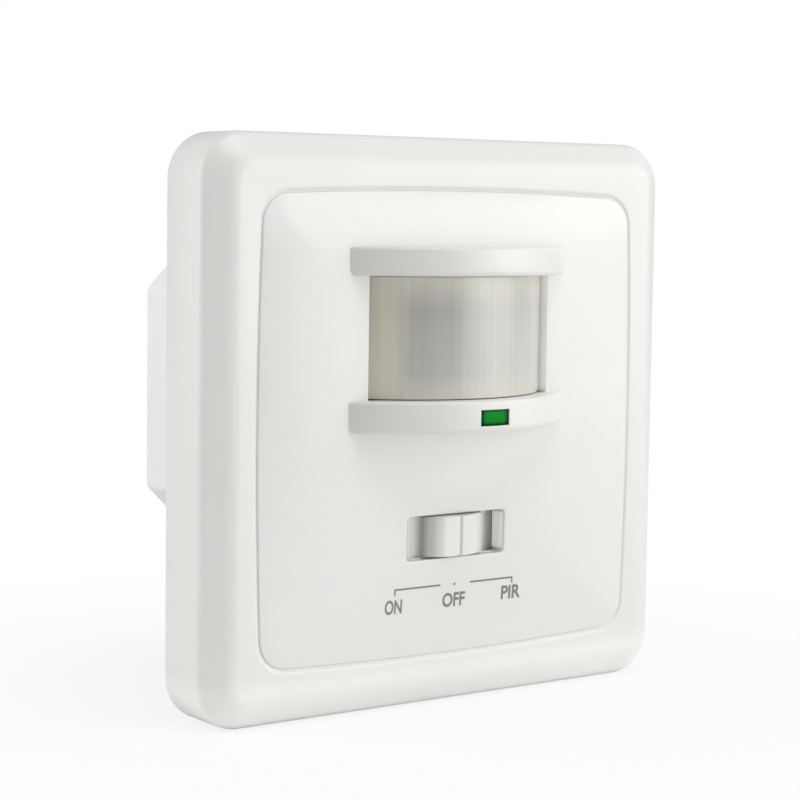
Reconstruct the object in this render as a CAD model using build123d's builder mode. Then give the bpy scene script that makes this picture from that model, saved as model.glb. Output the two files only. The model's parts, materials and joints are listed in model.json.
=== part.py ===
from build123d import *
import os
from math import cos, radians, sin, sqrt

# A motion sensor light switch for a 60 mm wall box, in millimetres.
# X runs to the right and Z up. The room is on the -Y side. The origin is the middle of the wall face.
# A level is a distance in front of the wall, and a negative level lies inside the wall box.

os.makedirs("parts", exist_ok=True)

# Outer frame. Its width follows the rear housing and the box screws, and its depth follows the switch and
# the knob behind the panel: see the places and levels further down
frame_cover = 10.5
frame_corner_radius = 6.5
frame_bevel_width = 4.2
frame_bevel_height = 2.8
frame_bevel_radius = 3.0
frame_hollow_radius = 3.2
frame_wall = 2.0
frame_face_wall = 2.2
frame_collar_wall = 1.6
frame_ledge_width = 2.0
frame_ledge_thickness = 1.0
frame_rib_thickness = 1.2
frame_rib_count = 3
seam_gap = 0.35
edge_break = 0.3

# Centre panel
panel_border = 7.54
panel_bow = 0.8
panel_corner_radius = 3.8
panel_wall = 1.5
panel_face_wall = 1.8
panel_rise = 1.35
shoulder_rise = 0.8
shoulder_place_share = 0.3
plateau_margin = 2.3
plateau_rim = 1.7
plateau_bow = 0.6
plateau_corner_radius = 6.0
running_gap = 0.1

# Lens window and the two lips
window_width = 31.8
window_height = 17.2
window_middle = 12.6
window_collar_wall = 1.5
window_collar_depth = 3.85
lip_thickness = 4.0
lower_lip_thickness = 4.4
lip_radius = 26.1
lip_reach = 9.7
lip_edge_radius = 0.8

# Lens and the ring that holds it
lens_sag = 8.15
lens_reach = 6.8
lens_wall = 0.9
lens_rows = 10
lens_row_depth = 0.25
lens_edge_gap = 0.15
lens_flange_width = 2.4
lens_flange_thickness = 0.8
retainer_wall = 3.2
retainer_thickness = 1.6
retainer_rim = 2.2
post_radius = 1.2
post_end = 0.6
fit_gap = 0.05

# Light window in the lower lip
led_window_width = 4.8
led_window_height = 2.1
led_window_drop = 0.35
led_window_inset = 0.05
led_shoulder_width = 7.0

# Switch slot and slider knob
slot_end_gap = 0.2
slot_side_gap = 0.25
slot_drop = 19.9
slot_corner_radius = 0.5
slot_pad_margin = 1.0
slot_pad_depth = 1.7
slide_travel = 3.0
knob_width = 11.0
knob_height = 5.8
knob_reach = 2.2
knob_crown = 2.1
knob_groove_width = 0.6
knob_groove_depth = 0.5
knob_skirt_overlap = 0.6
knob_skirt_rim = 1.0
knob_skirt_thickness = 1.0
knob_edge_radius = 0.3
stem_width = 4.0
stem_height = 2.4
stem_sink = 2.8
skirt_case_gap = 0.8

# Panel clips and the carrier that they hook into
clip_width = 8.0
clip_thickness = 1.2
clip_hook = 0.9
clip_hook_length = 1.6
clip_tip = 0.7
clip_lift = 0.7
clip_side_gap = 0.3
carrier_gap = 0.35
carrier_corner_radius = 4.0
carrier_wall = 1.5
carrier_floor = 1.2
carrier_rim = 2.2
carrier_window_margin = 0.5
carrier_notch_radius = 4.6
board_lift = 0.6
stake_pad_radius = 2.0
stake_radius = 1.0
stake_head_radius = 1.6
stake_head_height = 0.6
stake_inset = 2.5
stake_gap = 0.1

# Mounting plate
plate_side_gap = 3.0
plate_thickness = 1.0
plate_corner_radius = 5.0
plate_bend = 0.3
box_slot_radius = 2.1
box_slot_length = 5.2
box_slot_bridge = 1.9
plate_seat = 4.0

# Rear housing. Its width and height follow the power board inside it
housing_depth = 32.0
housing_corner_cut = 7.5
housing_corner_radius = 1.6
housing_rise = 3.0
housing_wall = 1.8
housing_floor = 2.0
housing_edge_cut = 0.6
housing_board_gap = 0.4
boss_radius = 2.8
boss_gap = 0.3
boss_depth = 12.0
screw_radius = 1.3
screw_length = 10.0
screw_head_radius = 2.3
screw_head_height = 1.6
screw_gap = 0.1
cross_width = 0.6
cross_depth = 0.7

# Sensor board and what it carries
board_thickness = 1.6
board_screw_gap = 0.8
board_top_margin = 2.3
board_bottom_margin = 3.1
board_corner_radius = 1.0
can_flange_radius = 4.6
can_flange_thickness = 0.6
can_radius = 4.15
can_height = 4.2
can_filter_width = 4.2
can_filter_height = 3.2
can_filter_thickness = 0.5
lead_radius = 0.25
lead_circle = 2.5
light_sensor_radius = 2.4
light_sensor_height = 2.0
light_sensor_inset = 2.4
led_width = 3.2
led_height = 1.8
led_depth = 1.2
led_dome_radius = 0.8
chip_length = 8.6
chip_width = 3.9
chip_height = 1.4
chip_standoff = 0.15
chip_legs_each_side = 7
chip_leg_width = 0.42
chip_leg_reach = 1.0
chip_leg_thickness = 0.2
trimmer_size = 6.4
trimmer_height = 2.8
trimmer_edge_gap = 2.2
trimmer_top_gap = 0.6
rotor_radius = 2.5
rotor_recess = 1.6
rotor_height = 2.4
rotor_pin_radius = 0.8
rotor_slot_width = 0.7
rotor_slot_depth = 0.8
rotor_gap = 0.06

# Slide switch on the sensor board
case_height = 7.0
case_depth = 3.5
case_wall = 0.8
case_floor = 0.7
case_lid = 0.8
block_width = 10.0
block_gap = 0.1
wiper_width = 6.5
wiper_height = 3.0
wiper_thickness = 0.3
wiper_dimple = 0.25
contact_count = 4
contact_size = 0.6

# Joint between the two boards
header_cell = 2.54
header_count = 5
header_pin_size = 0.64
header_base_height = 2.4
header_case_gap = 0.6
header_overhang = 0.7
socket_height = 7.4
socket_gap = 0.2
pin_tail = 0.5

# Power board and what it carries: two columns, with rows that build up from the terminals' pocket
rail_width = 2.2
rail_length = 16.0
component_gap = 3.2
row_gap = 2.4
close_gap = 0.6
power_board_edge = 3.5
relay_width = 19.0
relay_height = 15.5
relay_depth = 15.3
film_width = 18.0
film_height = 8.5
film_depth = 15.0
component_edge_radius = 0.5
electrolytic_radius = 5.0
electrolytic_height = 12.5
electrolytic_groove = 0.35
electrolytic_groove_place = 1.8
varistor_radius = 3.7
varistor_thickness = 3.6
fuse_radius = 1.6
fuse_length = 9.0
diode_radius = 1.3
diode_length = 4.6
diode_count = 4
wire_radius = 0.35
leg_radius = 0.45

# Terminals
terminal_count = 3
terminal_wall = 1.15
terminal_end_wall = 0.45
terminal_side_wall = 1.7
terminal_gap = 0.2
notch_wall = 1.4
wire_hole_radius = 1.7
chamber_width = 5.2
chamber_height = 5.8
chamber_depth = 5.6
chamber_back = 2.6
chamber_front_wall = 1.6
cage_gap = 0.1
cage_wall = 0.9
terminal_screw_radius = 1.4
terminal_head_radius = 1.9
terminal_head_height = 1.4
terminal_head_sink = 0.6
terminal_screw_end = 2.2
tail_width = 1.0
tail_thickness = 0.8
tail_gap = 0.2

overrun = 1.0


def level(height):
    """The plane parallel to the wall at a level, facing the room."""
    return Plane.XZ.offset(height)


def bowed_outline(height, width, tall, bow, corner_radius, middle):
    """A square with bowed sides and round corners, drawn at a level about a middle height."""
    side = width / 2
    top = middle + tall / 2
    bottom = middle - tall / 2
    with BuildSketch(level(height)) as outline:
        with BuildLine():
            ThreePointArc((-side + bow, top - bow), (0, top), (side - bow, top - bow))
            ThreePointArc((side - bow, top - bow), (side, middle), (side - bow, bottom + bow))
            ThreePointArc((side - bow, bottom + bow), (0, bottom), (-side + bow, bottom + bow))
            ThreePointArc((-side + bow, bottom + bow), (-side, middle), (-side + bow, top - bow))
        make_face()
        fillet(outline.vertices(), corner_radius)
    return outline.sketch


def panel_outline(height, grow):
    """The outline of the centre panel, grown on every side."""
    width = panel_width + 2 * grow
    return bowed_outline(height, width, width, panel_bow, panel_corner_radius + grow, 0)


def cut_corner_outline(height, width, tall, corner_cut, corner_radius):
    """The housing's rectangle with cut corners at a level, each corner slightly rounded."""
    with BuildSketch(level(height)) as outline:
        with Locations((0, housing_rise)):
            Rectangle(width, tall)
        chamfer(outline.vertices(), corner_cut)
        fillet(outline.vertices(), corner_radius)
    return outline.sketch


def box_at(height, width, tall, x, z):
    """A rectangle at a level, about a middle point."""
    with BuildSketch(level(height)) as outline:
        with Locations((x, z)):
            Rectangle(width, tall)
    return outline.sketch


def disc_at(height, radius, x, z):
    """A disc at a level, about a middle point."""
    with BuildSketch(level(height)) as outline:
        with Locations((x, z)):
            Circle(radius)
    return outline.sketch


def boxes_at(height, width, tall, places):
    """Equal rectangles at a level, one about each place."""
    with BuildSketch(level(height)) as outline:
        with Locations(*places):
            Rectangle(width, tall)
    return outline.sketch


def discs_at(height, radius, places):
    """Equal discs at a level, one about each place."""
    with BuildSketch(level(height)) as outline:
        with Locations(*places):
            Circle(radius)
    return outline.sketch


def row_places(count, step, z):
    """Places in a row from left to right, about the middle."""
    return [((place - (count - 1) / 2) * step, z) for place in range(count)]


def corner_places(width, tall, middle):
    """The four corners of a rectangle about a middle height."""
    return [(x, middle + z) for x in (-width / 2, width / 2) for z in (-tall / 2, tall / 2)]


def between(first, last, share):
    """A value part of the way from the first to the last."""
    return first + (last - first) * share


def save(piece, label):
    """Name a finished piece and write its file."""
    piece.label = label
    export_step(piece, "parts/" + label + ".step")


# Rows of the power board, counted up from the bottom of the rear housing
terminal_block_height = chamber_height + 2 * terminal_side_wall
terminal_row_z = terminal_block_height / 2
pocket_row = terminal_block_height + terminal_gap + notch_wall
board_row = housing_wall + housing_board_gap
fuse_row = pocket_row + row_gap + fuse_radius
relay_row = fuse_row + fuse_radius + row_gap + relay_height / 2
electrolytic_row = pocket_row + row_gap + electrolytic_radius
film_row = electrolytic_row + electrolytic_radius + row_gap + film_height / 2
diode_row = max(relay_row + relay_height / 2, film_row + film_height / 2) + row_gap + diode_radius
power_board_height = diode_row + diode_radius + power_board_edge - board_row
housing_height = power_board_height + 2 * board_row
housing_low = housing_rise - housing_height / 2

# Columns of the power board, and the widths that build up around them
column_width = max(film_width, 2 * electrolytic_radius + close_gap + 2 * varistor_radius)
power_board_width = relay_width + column_width + 3 * component_gap
relay_x = component_gap + (relay_width - power_board_width) / 2
column_x = relay_x + relay_width / 2 + component_gap
housing_width = power_board_width + 2 * board_row
boss_inset = housing_corner_cut / 2 + boss_radius / sqrt(2)
screw_span_x = housing_width - 2 * boss_inset
screw_span_z = housing_height - 2 * boss_inset
waist_width = screw_span_x - 2 * (boss_radius + boss_gap)
waist_height = screw_span_z - 2 * (boss_radius + boss_gap)
box_screw_place = housing_width / 2 + box_slot_bridge + box_slot_length / 2
frame_width = 2 * (box_screw_place + frame_cover)
panel_width = frame_width - 2 * panel_border
collar_width = panel_width + 2 * seam_gap
plate_width = frame_width - 2 * (frame_wall + plate_side_gap)
carrier_width = panel_width - 2 * (panel_bow + panel_wall + carrier_gap)

# Places across the front
window_bottom = window_middle - window_height / 2
window_top = window_middle + window_height / 2
lower_lip_bottom = window_bottom - lower_lip_thickness
plateau_width = window_width + 2 * plateau_margin
plateau_height = window_height + 2 * (lip_thickness + plateau_rim)
led_hole_width = led_window_width + 2 * running_gap
led_hole_height = led_window_height + 2 * running_gap
led_z = window_bottom - lip_thickness / 2 - led_window_drop
slot_width = knob_width + 2 * (slide_travel + slot_end_gap)
slot_height = knob_height + 2 * slot_side_gap
slot_middle = window_bottom - slot_drop
knob_skirt_width = slot_width + 2 * (slide_travel + knob_skirt_overlap)
knob_skirt_height = slot_height + 2 * knob_skirt_rim
slot_pad_width = knob_skirt_width + 2 * (slide_travel + slot_pad_margin)
slot_pad_height = knob_skirt_height + 2 * slot_pad_margin
case_width = block_width + 2 * (slide_travel + 2 * block_gap + case_wall)
header_z = slot_middle + case_height / 2 + header_case_gap + header_cell / 2
header_length = header_count * header_cell
sensor_board_width = screw_span_x - 2 * (screw_head_radius + board_screw_gap)
sensor_board_top = window_top + board_top_margin
sensor_board_bottom = slot_middle - case_height / 2 - board_bottom_margin
sensor_board_height = sensor_board_top - sensor_board_bottom
sensor_board_middle = (sensor_board_top + sensor_board_bottom) / 2
lens_half_width = window_width / 2 - lens_edge_gap
flange_x = lens_half_width + lens_flange_width
retainer_width = 2 * flange_x
retainer_height = window_height + lip_thickness + 2 * retainer_rim
trimmer_x = sensor_board_width / 2 - trimmer_edge_gap - trimmer_size / 2
trimmer_z = window_middle - retainer_height / 2 - trimmer_top_gap - trimmer_size / 2
clip_outside = carrier_width / 2 - carrier_wall - clip_side_gap
terminal_step = chamber_width + 2 * terminal_wall
terminal_block_width = terminal_count * terminal_step + 2 * terminal_end_wall
terminal_z = housing_low + terminal_row_z

# Levels from the wall outwards
ledge_level = plate_thickness + frame_ledge_thickness
panel_back = ledge_level + running_gap
carrier_floor_top = plate_thickness + carrier_floor
sensor_board_back = carrier_floor_top + board_lift
sensor_board_front = sensor_board_back + board_thickness
skirt_back = sensor_board_front + case_depth + skirt_case_gap
slot_pad_back = skirt_back + knob_skirt_thickness + running_gap
frame_depth = slot_pad_back + slot_pad_depth
lip_front = frame_depth + lip_reach
lip_centre_y = lip_radius - lip_front
lens_front = frame_depth + lens_reach
lens_radius = (lens_half_width ** 2 + lens_sag ** 2) / (2 * lens_sag)
knob_front = frame_depth + knob_reach
panel_inside = frame_depth - panel_face_wall
plateau_level = frame_depth + panel_rise
window_collar_back = plateau_level - window_collar_depth
stem_tip = knob_front - stem_sink
flange_back = window_collar_back - lens_flange_thickness
retainer_back = flange_back - retainer_thickness
carrier_top = panel_inside - carrier_rim
clip_end = carrier_floor_top + clip_lift
clip_hook_root = clip_end + clip_tip
clip_hook_top = clip_hook_root + clip_hook_length
header_back = sensor_board_back - header_base_height
socket_front = header_back - socket_gap
power_board_front = socket_front - socket_height
power_board_back = power_board_front - board_thickness
terminal_block_depth = chamber_back + chamber_depth + chamber_front_wall

# Places that several pieces share
screw_places = corner_places(screw_span_x, screw_span_z, housing_rise)
post_places = corner_places(retainer_width - 2 * retainer_rim, retainer_height - 2 * retainer_rim,
                            window_middle)
stake_places = corner_places(sensor_board_width - 2 * stake_inset, sensor_board_height - 2 * stake_inset,
                             sensor_board_middle)
header_places = row_places(header_count, header_cell, header_z)
contact_places = row_places(contact_count, slide_travel, slot_middle)
terminal_places = row_places(terminal_count, terminal_step, terminal_z)
box_screw_places = [(box_screw_place, 0), (0, box_screw_place), (-box_screw_place, 0), (0, -box_screw_place)]
lead_places = [(lead_circle * cos(turn), window_middle + lead_circle * sin(turn))
               for turn in (radians(-90), radians(30), radians(150))]


def crown_sections(base, grow):
    """The panel's outline, a rounder one part of the way in, and the flat top's, each at its level."""
    share = shoulder_place_share
    width = panel_width + 2 * grow
    top_width = plateau_width + 2 * grow
    top_height = plateau_height + 2 * grow
    corner = between(panel_corner_radius, plateau_corner_radius, share) + grow
    shoulder = bowed_outline(base + shoulder_rise, between(width, top_width, share),
                             between(width, top_height, share), between(panel_bow, plateau_bow, share),
                             corner, window_middle * share)
    top = bowed_outline(base + panel_rise, top_width, top_height, plateau_bow, plateau_corner_radius + grow,
                        window_middle)
    return [panel_outline(base, grow), shoulder, top]


# Outer frame: a hollow shell with a collar around the panel and a ledge at the collar's back
frame_hollow_depth = frame_depth - frame_face_wall
with BuildPart() as frame_hollow:
    with BuildSketch(level(-overrun)):
        hollow_width = frame_width - 2 * frame_wall
        RectangleRounded(hollow_width, hollow_width, frame_corner_radius - frame_wall)
    extrude(amount=frame_hollow_depth + overrun)
    fillet(frame_hollow.faces().sort_by(Axis.Y)[0].edges(), frame_hollow_radius)
    extrude(panel_outline(-overrun, seam_gap + frame_collar_wall), amount=frame_depth + overrun,
            mode=Mode.SUBTRACT)

with BuildPart() as outer_frame:
    with BuildSketch(level(0)):
        RectangleRounded(frame_width, frame_width, frame_corner_radius)
    extrude(amount=frame_depth)
    frame_face = outer_frame.faces().sort_by(Axis.Y)[0]
    chamfer(frame_face.edges(), frame_bevel_width, frame_bevel_height, reference=frame_face)
    bevel_edges = outer_frame.edges().group_by(Axis.Y)
    fillet(bevel_edges[0], frame_bevel_radius)
    add(frame_hollow.part, mode=Mode.SUBTRACT)
    extrude(panel_outline(ledge_level, seam_gap), amount=frame_depth, mode=Mode.SUBTRACT)
    extrude(panel_outline(-overrun, seam_gap - frame_ledge_width), amount=frame_depth, mode=Mode.SUBTRACT)
    # The collar stops at the mounting plate, which lies inside the frame's outer wall
    with BuildSketch(level(-overrun)):
        Rectangle(plate_width + 2 * running_gap, plate_width + 2 * running_gap)
    extrude(amount=plate_thickness + overrun, mode=Mode.SUBTRACT)
    # The ledge gives way to the heads of the box screws
    extrude(discs_at(-overrun, carrier_notch_radius, box_screw_places), amount=ledge_level + overrun,
            mode=Mode.SUBTRACT)
    # Short ribs tie the collar to the outer wall
    rib_length = (frame_width - collar_width) / 2 - frame_collar_wall / 2 - frame_wall / 2
    rib_middle = (frame_width + collar_width) / 4 + frame_collar_wall / 4 - frame_wall / 4
    rib_step = panel_width / (frame_rib_count + 1)
    for side in (-1, 1):
        upright_places = row_places(frame_rib_count, rib_step, side * rib_middle)
        level_places = [(z, x) for x, z in upright_places]
        extrude(boxes_at(ledge_level, frame_rib_thickness, rib_length, upright_places),
                amount=frame_hollow_depth - ledge_level)
        extrude(boxes_at(ledge_level, rib_length, frame_rib_thickness, level_places),
                amount=frame_hollow_depth - ledge_level)
save(outer_frame.part, "outer_frame")

# The two lips that shade the lens from above and below, rounded along their front edges
with BuildPart() as lips:
    for lip_bottom, thickness in ((lower_lip_bottom, lower_lip_thickness), (window_top, lip_thickness)):
        with BuildSketch(Plane.XY.offset(lip_bottom)):
            with Locations((0, lip_centre_y)):
                Circle(lip_radius)
            with Locations((0, -panel_inside - lip_radius)):
                Rectangle(2 * lip_radius, 2 * lip_radius, mode=Mode.INTERSECT)
        extrude(amount=thickness)
    fillet(lips.edges().filter_by(GeomType.CIRCLE), lip_edge_radius)

# Centre panel: a hollow crowned cover with its window, slot, clips and lens posts
with BuildPart() as front_panel:
    extrude(panel_outline(panel_back, 0), amount=frame_depth - panel_back)
    loft(sections=crown_sections(frame_depth, 0), ruled=True)
    extrude(panel_outline(panel_back - overrun, -panel_wall), amount=panel_inside - panel_back + overrun,
            mode=Mode.SUBTRACT)
    loft(sections=crown_sections(panel_inside, -panel_wall), ruled=True, mode=Mode.SUBTRACT)
    add(lips.part)
    # Collar behind the window, flat pad behind the slot
    collar_outside_width = window_width + 2 * window_collar_wall
    collar_outside_height = window_height + 2 * window_collar_wall
    extrude(box_at(window_collar_back, collar_outside_width, collar_outside_height, 0, window_middle),
            amount=frame_depth - window_collar_back)
    extrude(box_at(slot_pad_back, slot_pad_width, slot_pad_height, 0, slot_middle), amount=slot_pad_depth)
    # Posts that the lens ring is pushed onto
    extrude(discs_at(retainer_back - post_end, post_radius, post_places),
            amount=frame_depth - retainer_back + post_end)
    # Window, light channel and slot
    extrude(box_at(panel_back, window_width, window_height, 0, window_middle), amount=lip_front,
            mode=Mode.SUBTRACT)
    extrude(box_at(panel_back, led_hole_width, led_hole_height, 0, led_z), amount=lip_front, mode=Mode.SUBTRACT)
    with BuildSketch(level(panel_back)):
        with Locations((0, slot_middle)):
            RectangleRounded(slot_width, slot_height, slot_corner_radius)
    extrude(amount=lip_front, mode=Mode.SUBTRACT)
    # Four clips with hooks that face outwards
    for side in (-1, 1):
        for clip_z in (-carrier_width / 4, carrier_width / 4):
            with BuildSketch(Plane.XY.offset(clip_z - clip_width / 2)):
                with BuildLine():
                    Polyline(
                        (side * (clip_outside - clip_thickness), -frame_depth + panel_face_wall / 2),
                        (side * (clip_outside - clip_thickness), -clip_end),
                        (side * clip_outside, -clip_end),
                        (side * (clip_outside + clip_hook), -clip_hook_root),
                        (side * (clip_outside + clip_hook), -clip_hook_top),
                        (side * clip_outside, -clip_hook_top),
                        (side * clip_outside, -frame_depth + panel_face_wall / 2),
                        close=True,
                    )
                make_face()
            extrude(amount=clip_width)
save(front_panel.part, "front_panel")


# Lens: a bent sheet with upright rows on its inner side, and a flange along each end
lens_centre_y = lens_radius - lens_front
lens_inner_radius = lens_radius - lens_wall
lens_end_y = lens_centre_y - sqrt(lens_radius ** 2 - lens_half_width ** 2)
lens_inner_x = lens_half_width - lens_wall
lens_inner_y = lens_centre_y - sqrt(lens_inner_radius ** 2 - lens_inner_x ** 2)
with BuildPart() as fresnel_lens:
    with BuildSketch(Plane.XY.offset(window_bottom + lens_edge_gap)):
        with BuildLine():
            ThreePointArc((-lens_half_width, lens_end_y), (0, -lens_front), (lens_half_width, lens_end_y))
            Polyline(
                (lens_half_width, lens_end_y),
                (lens_half_width, -window_collar_back),
                (flange_x, -window_collar_back),
                (flange_x, -flange_back),
                (lens_inner_x, -flange_back),
                (lens_inner_x, lens_inner_y),
            )
            row_x = 2 * lens_inner_x / lens_rows
            for row in range(lens_rows):
                start_x = lens_inner_x - row * row_x
                end_x = start_x - row_x
                middle_x = (start_x + end_x) / 2
                start_y = lens_centre_y - sqrt(lens_inner_radius ** 2 - start_x ** 2)
                end_y = lens_centre_y - sqrt(lens_inner_radius ** 2 - end_x ** 2)
                middle_y = lens_centre_y - sqrt(lens_inner_radius ** 2 - middle_x ** 2) + lens_row_depth
                ThreePointArc((start_x, start_y), (middle_x, middle_y), (end_x, end_y))
            Polyline(
                (-lens_inner_x, lens_inner_y),
                (-lens_inner_x, -flange_back),
                (-flange_x, -flange_back),
                (-flange_x, -window_collar_back),
                (-lens_half_width, -window_collar_back),
                (-lens_half_width, lens_end_y),
            )
        make_face()
    extrude(amount=window_height - 2 * lens_edge_gap)
save(fresnel_lens.part, "fresnel_lens")

# Ring that holds the lens against the panel, with holes for the posts and the light window
with BuildPart() as lens_retainer:
    with BuildSketch(level(retainer_back)):
        with Locations((0, window_middle)):
            RectangleRounded(retainer_width, retainer_height, post_radius)
            Rectangle(retainer_width - 2 * retainer_wall, window_height - 2 * fit_gap, mode=Mode.SUBTRACT)
        with Locations(*post_places):
            Circle(post_radius + fit_gap, mode=Mode.SUBTRACT)
        with Locations((0, led_z)):
            Rectangle(led_hole_width, led_hole_height, mode=Mode.SUBTRACT)
    extrude(amount=retainer_thickness)
save(lens_retainer.part, "lens_retainer")

# Light window: a rod from the lamp to the face of the lower lip
led_top_level = sensor_board_front + led_depth + led_dome_radius
with BuildPart() as led_window:
    with BuildSketch(Plane.XY.offset(led_z - led_window_height / 2)):
        with Locations((0, lip_centre_y)):
            Circle(lip_radius - led_window_inset)
        rod_length = lip_front - led_top_level - running_gap
        with Locations((0, -led_top_level - running_gap - rod_length / 2)):
            Rectangle(led_window_width, rod_length, mode=Mode.INTERSECT)
    extrude(amount=led_window_height)
    extrude(box_at(flange_back, led_shoulder_width, led_window_height, 0, led_z),
            amount=lens_flange_thickness)
save(led_window.part, "led_window")

# Slider knob: a crowned cap on a skirt that keeps the slot closed
with BuildPart() as slide_knob:
    with BuildSketch(Plane.XY.offset(slot_middle - knob_height / 2)):
        with BuildLine():
            knob_side = knob_width / 2
            knob_edge = knob_front - knob_crown
            ThreePointArc((-knob_side, -knob_edge), (0, -knob_front), (knob_side, -knob_edge))
            Polyline((knob_side, -knob_edge), (knob_side, -skirt_back), (-knob_side, -skirt_back),
                     (-knob_side, -knob_edge))
        make_face()
    extrude(amount=knob_height)
    knob_ends = slide_knob.edges().filter_by(Axis.Z).sort_by(Axis.Y)[0:2]
    fillet(slide_knob.edges().group_by(Axis.Y)[0] + knob_ends, knob_edge_radius)
    with BuildSketch(level(skirt_back)):
        with Locations((0, slot_middle)):
            RectangleRounded(knob_skirt_width, knob_skirt_height, slot_corner_radius)
    extrude(amount=knob_skirt_thickness)
    extrude(box_at(knob_front - knob_groove_depth, knob_groove_width, knob_height + overrun, 0, slot_middle),
            amount=knob_groove_depth + overrun, mode=Mode.SUBTRACT)
    extrude(box_at(skirt_back - overrun, stem_width + 2 * fit_gap, stem_height + 2 * fit_gap, 0,
                   slot_middle),
            amount=stem_tip + fit_gap - skirt_back + overrun, mode=Mode.SUBTRACT)
save(slide_knob.part, "slide_knob")

# Carrier: a tray that bears on the plate, with clip windows, screw holes and board stakes
with BuildPart() as carrier:
    with BuildSketch(level(plate_thickness)):
        RectangleRounded(carrier_width, carrier_width, carrier_corner_radius)
    extrude(amount=carrier_top - plate_thickness)
    with BuildSketch(level(carrier_floor_top)):
        inner_width = carrier_width - 2 * carrier_wall
        RectangleRounded(inner_width, inner_width, carrier_corner_radius - carrier_wall)
    extrude(amount=carrier_top, mode=Mode.SUBTRACT)
    # Notches that leave room for the box screws
    extrude(discs_at(0, carrier_notch_radius, box_screw_places), amount=carrier_top + overrun,
            mode=Mode.SUBTRACT)
    # Windows for the panel's clips
    clip_window_length = clip_width + 2 * carrier_window_margin
    clip_window_low = clip_end - carrier_window_margin
    clip_window_high = clip_hook_top + running_gap
    extrude(boxes_at(clip_window_low, 4 * carrier_wall - 2 * clip_side_gap, clip_window_length,
                     corner_places(carrier_width, carrier_width / 2, 0)),
            amount=clip_window_high - clip_window_low, mode=Mode.SUBTRACT)
    # Screw holes and the opening for the board joint
    extrude(discs_at(0, screw_radius + screw_gap, screw_places), amount=carrier_top, mode=Mode.SUBTRACT)
    extrude(box_at(0, header_length + 2 * header_overhang, header_cell + 2 * header_overhang, 0, header_z),
            amount=carrier_top, mode=Mode.SUBTRACT)
    # Stakes that hold the sensor board
    extrude(discs_at(carrier_floor_top, stake_pad_radius, stake_places), amount=board_lift)
    extrude(discs_at(carrier_floor_top, stake_radius, stake_places),
            amount=board_lift + board_thickness + running_gap)
    extrude(discs_at(sensor_board_front + fit_gap, stake_head_radius, stake_places),
            amount=stake_head_height)
save(carrier.part, "carrier")

# Mounting plate: pressed steel with a slot for a box screw in the middle of each side
with BuildPart() as mounting_plate:
    with BuildSketch(level(0)):
        RectangleRounded(plate_width, plate_width, plate_corner_radius)
        for place, turn in zip(box_screw_places, (0, 90, 180, 270)):
            with Locations(place):
                SlotOverall(box_slot_length, 2 * box_slot_radius, rotation=turn, mode=Mode.SUBTRACT)
        with Locations(*screw_places):
            Circle(screw_radius + screw_gap, mode=Mode.SUBTRACT)
    extrude(amount=plate_thickness)
    hole_cut = 2 * (boss_inset - plate_seat) + sqrt(2) * (boss_radius + boss_gap)
    hole_width = housing_width - 2 * plate_seat
    hole_height = housing_height - 2 * plate_seat
    extrude(cut_corner_outline(-overrun, hole_width, hole_height, hole_cut, housing_corner_radius),
            amount=plate_thickness + 2 * overrun, mode=Mode.SUBTRACT)
    chamfer(mounting_plate.faces().sort_by(Axis.Y)[0].outer_wire().edges(), plate_bend)
save(mounting_plate.part, "mounting_plate")

# Rear housing: a cup with cut corners that goes into the wall box
housing_back = -housing_depth
housing_inside_back = housing_back + housing_floor
notch_width = terminal_block_width + 2 * terminal_gap
notch_top = housing_low + terminal_block_height + terminal_gap
notch_front = housing_back + terminal_block_depth
with BuildPart() as rear_housing:
    extrude(cut_corner_outline(housing_back, housing_width, housing_height, housing_corner_cut,
                               housing_corner_radius), amount=housing_depth)
    chamfer(rear_housing.faces().sort_by(Axis.Y)[-1].edges(), housing_edge_cut)
    inner_cut = housing_corner_cut - housing_wall * (2 - sqrt(2))
    extrude(cut_corner_outline(housing_inside_back, housing_width - 2 * housing_wall,
                               housing_height - 2 * housing_wall, inner_cut, housing_corner_radius / 2),
            amount=housing_depth, mode=Mode.SUBTRACT)
    # Bosses for the assembly screws
    extrude(discs_at(-boss_depth, boss_radius, screw_places), amount=boss_depth)
    extrude(discs_at(-screw_length - overrun, screw_radius + fit_gap, screw_places),
            amount=screw_length + 2 * overrun, mode=Mode.SUBTRACT)
    # Rails that the power board stands on
    rail_x = housing_width / 2 - housing_wall - rail_width / 2
    for side in (-1, 1):
        extrude(box_at(housing_inside_back, rail_width + housing_wall / 2, rail_length,
                       side * (rail_x + housing_wall / 4), housing_rise),
                amount=power_board_back - housing_inside_back)
    # Pocket for the terminal block, open at the back and below
    pocket_height = notch_top + notch_wall - housing_low
    extrude(box_at(housing_inside_back, notch_width + 2 * notch_wall, pocket_height, 0,
                   housing_low + pocket_height / 2),
            amount=notch_front + notch_wall - housing_inside_back)
    extrude(box_at(housing_back - overrun, notch_width, notch_top - housing_low + overrun, 0,
                   (notch_top + housing_low - overrun) / 2),
            amount=notch_front - housing_back + overrun, mode=Mode.SUBTRACT)
    # Holes for the terminals' tails
    extrude(boxes_at(notch_front - overrun, tail_width + 2 * tail_gap, tail_thickness + 2 * tail_gap,
                     terminal_places), amount=notch_wall + 2 * overrun, mode=Mode.SUBTRACT)
save(rear_housing.part, "rear_housing")

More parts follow.
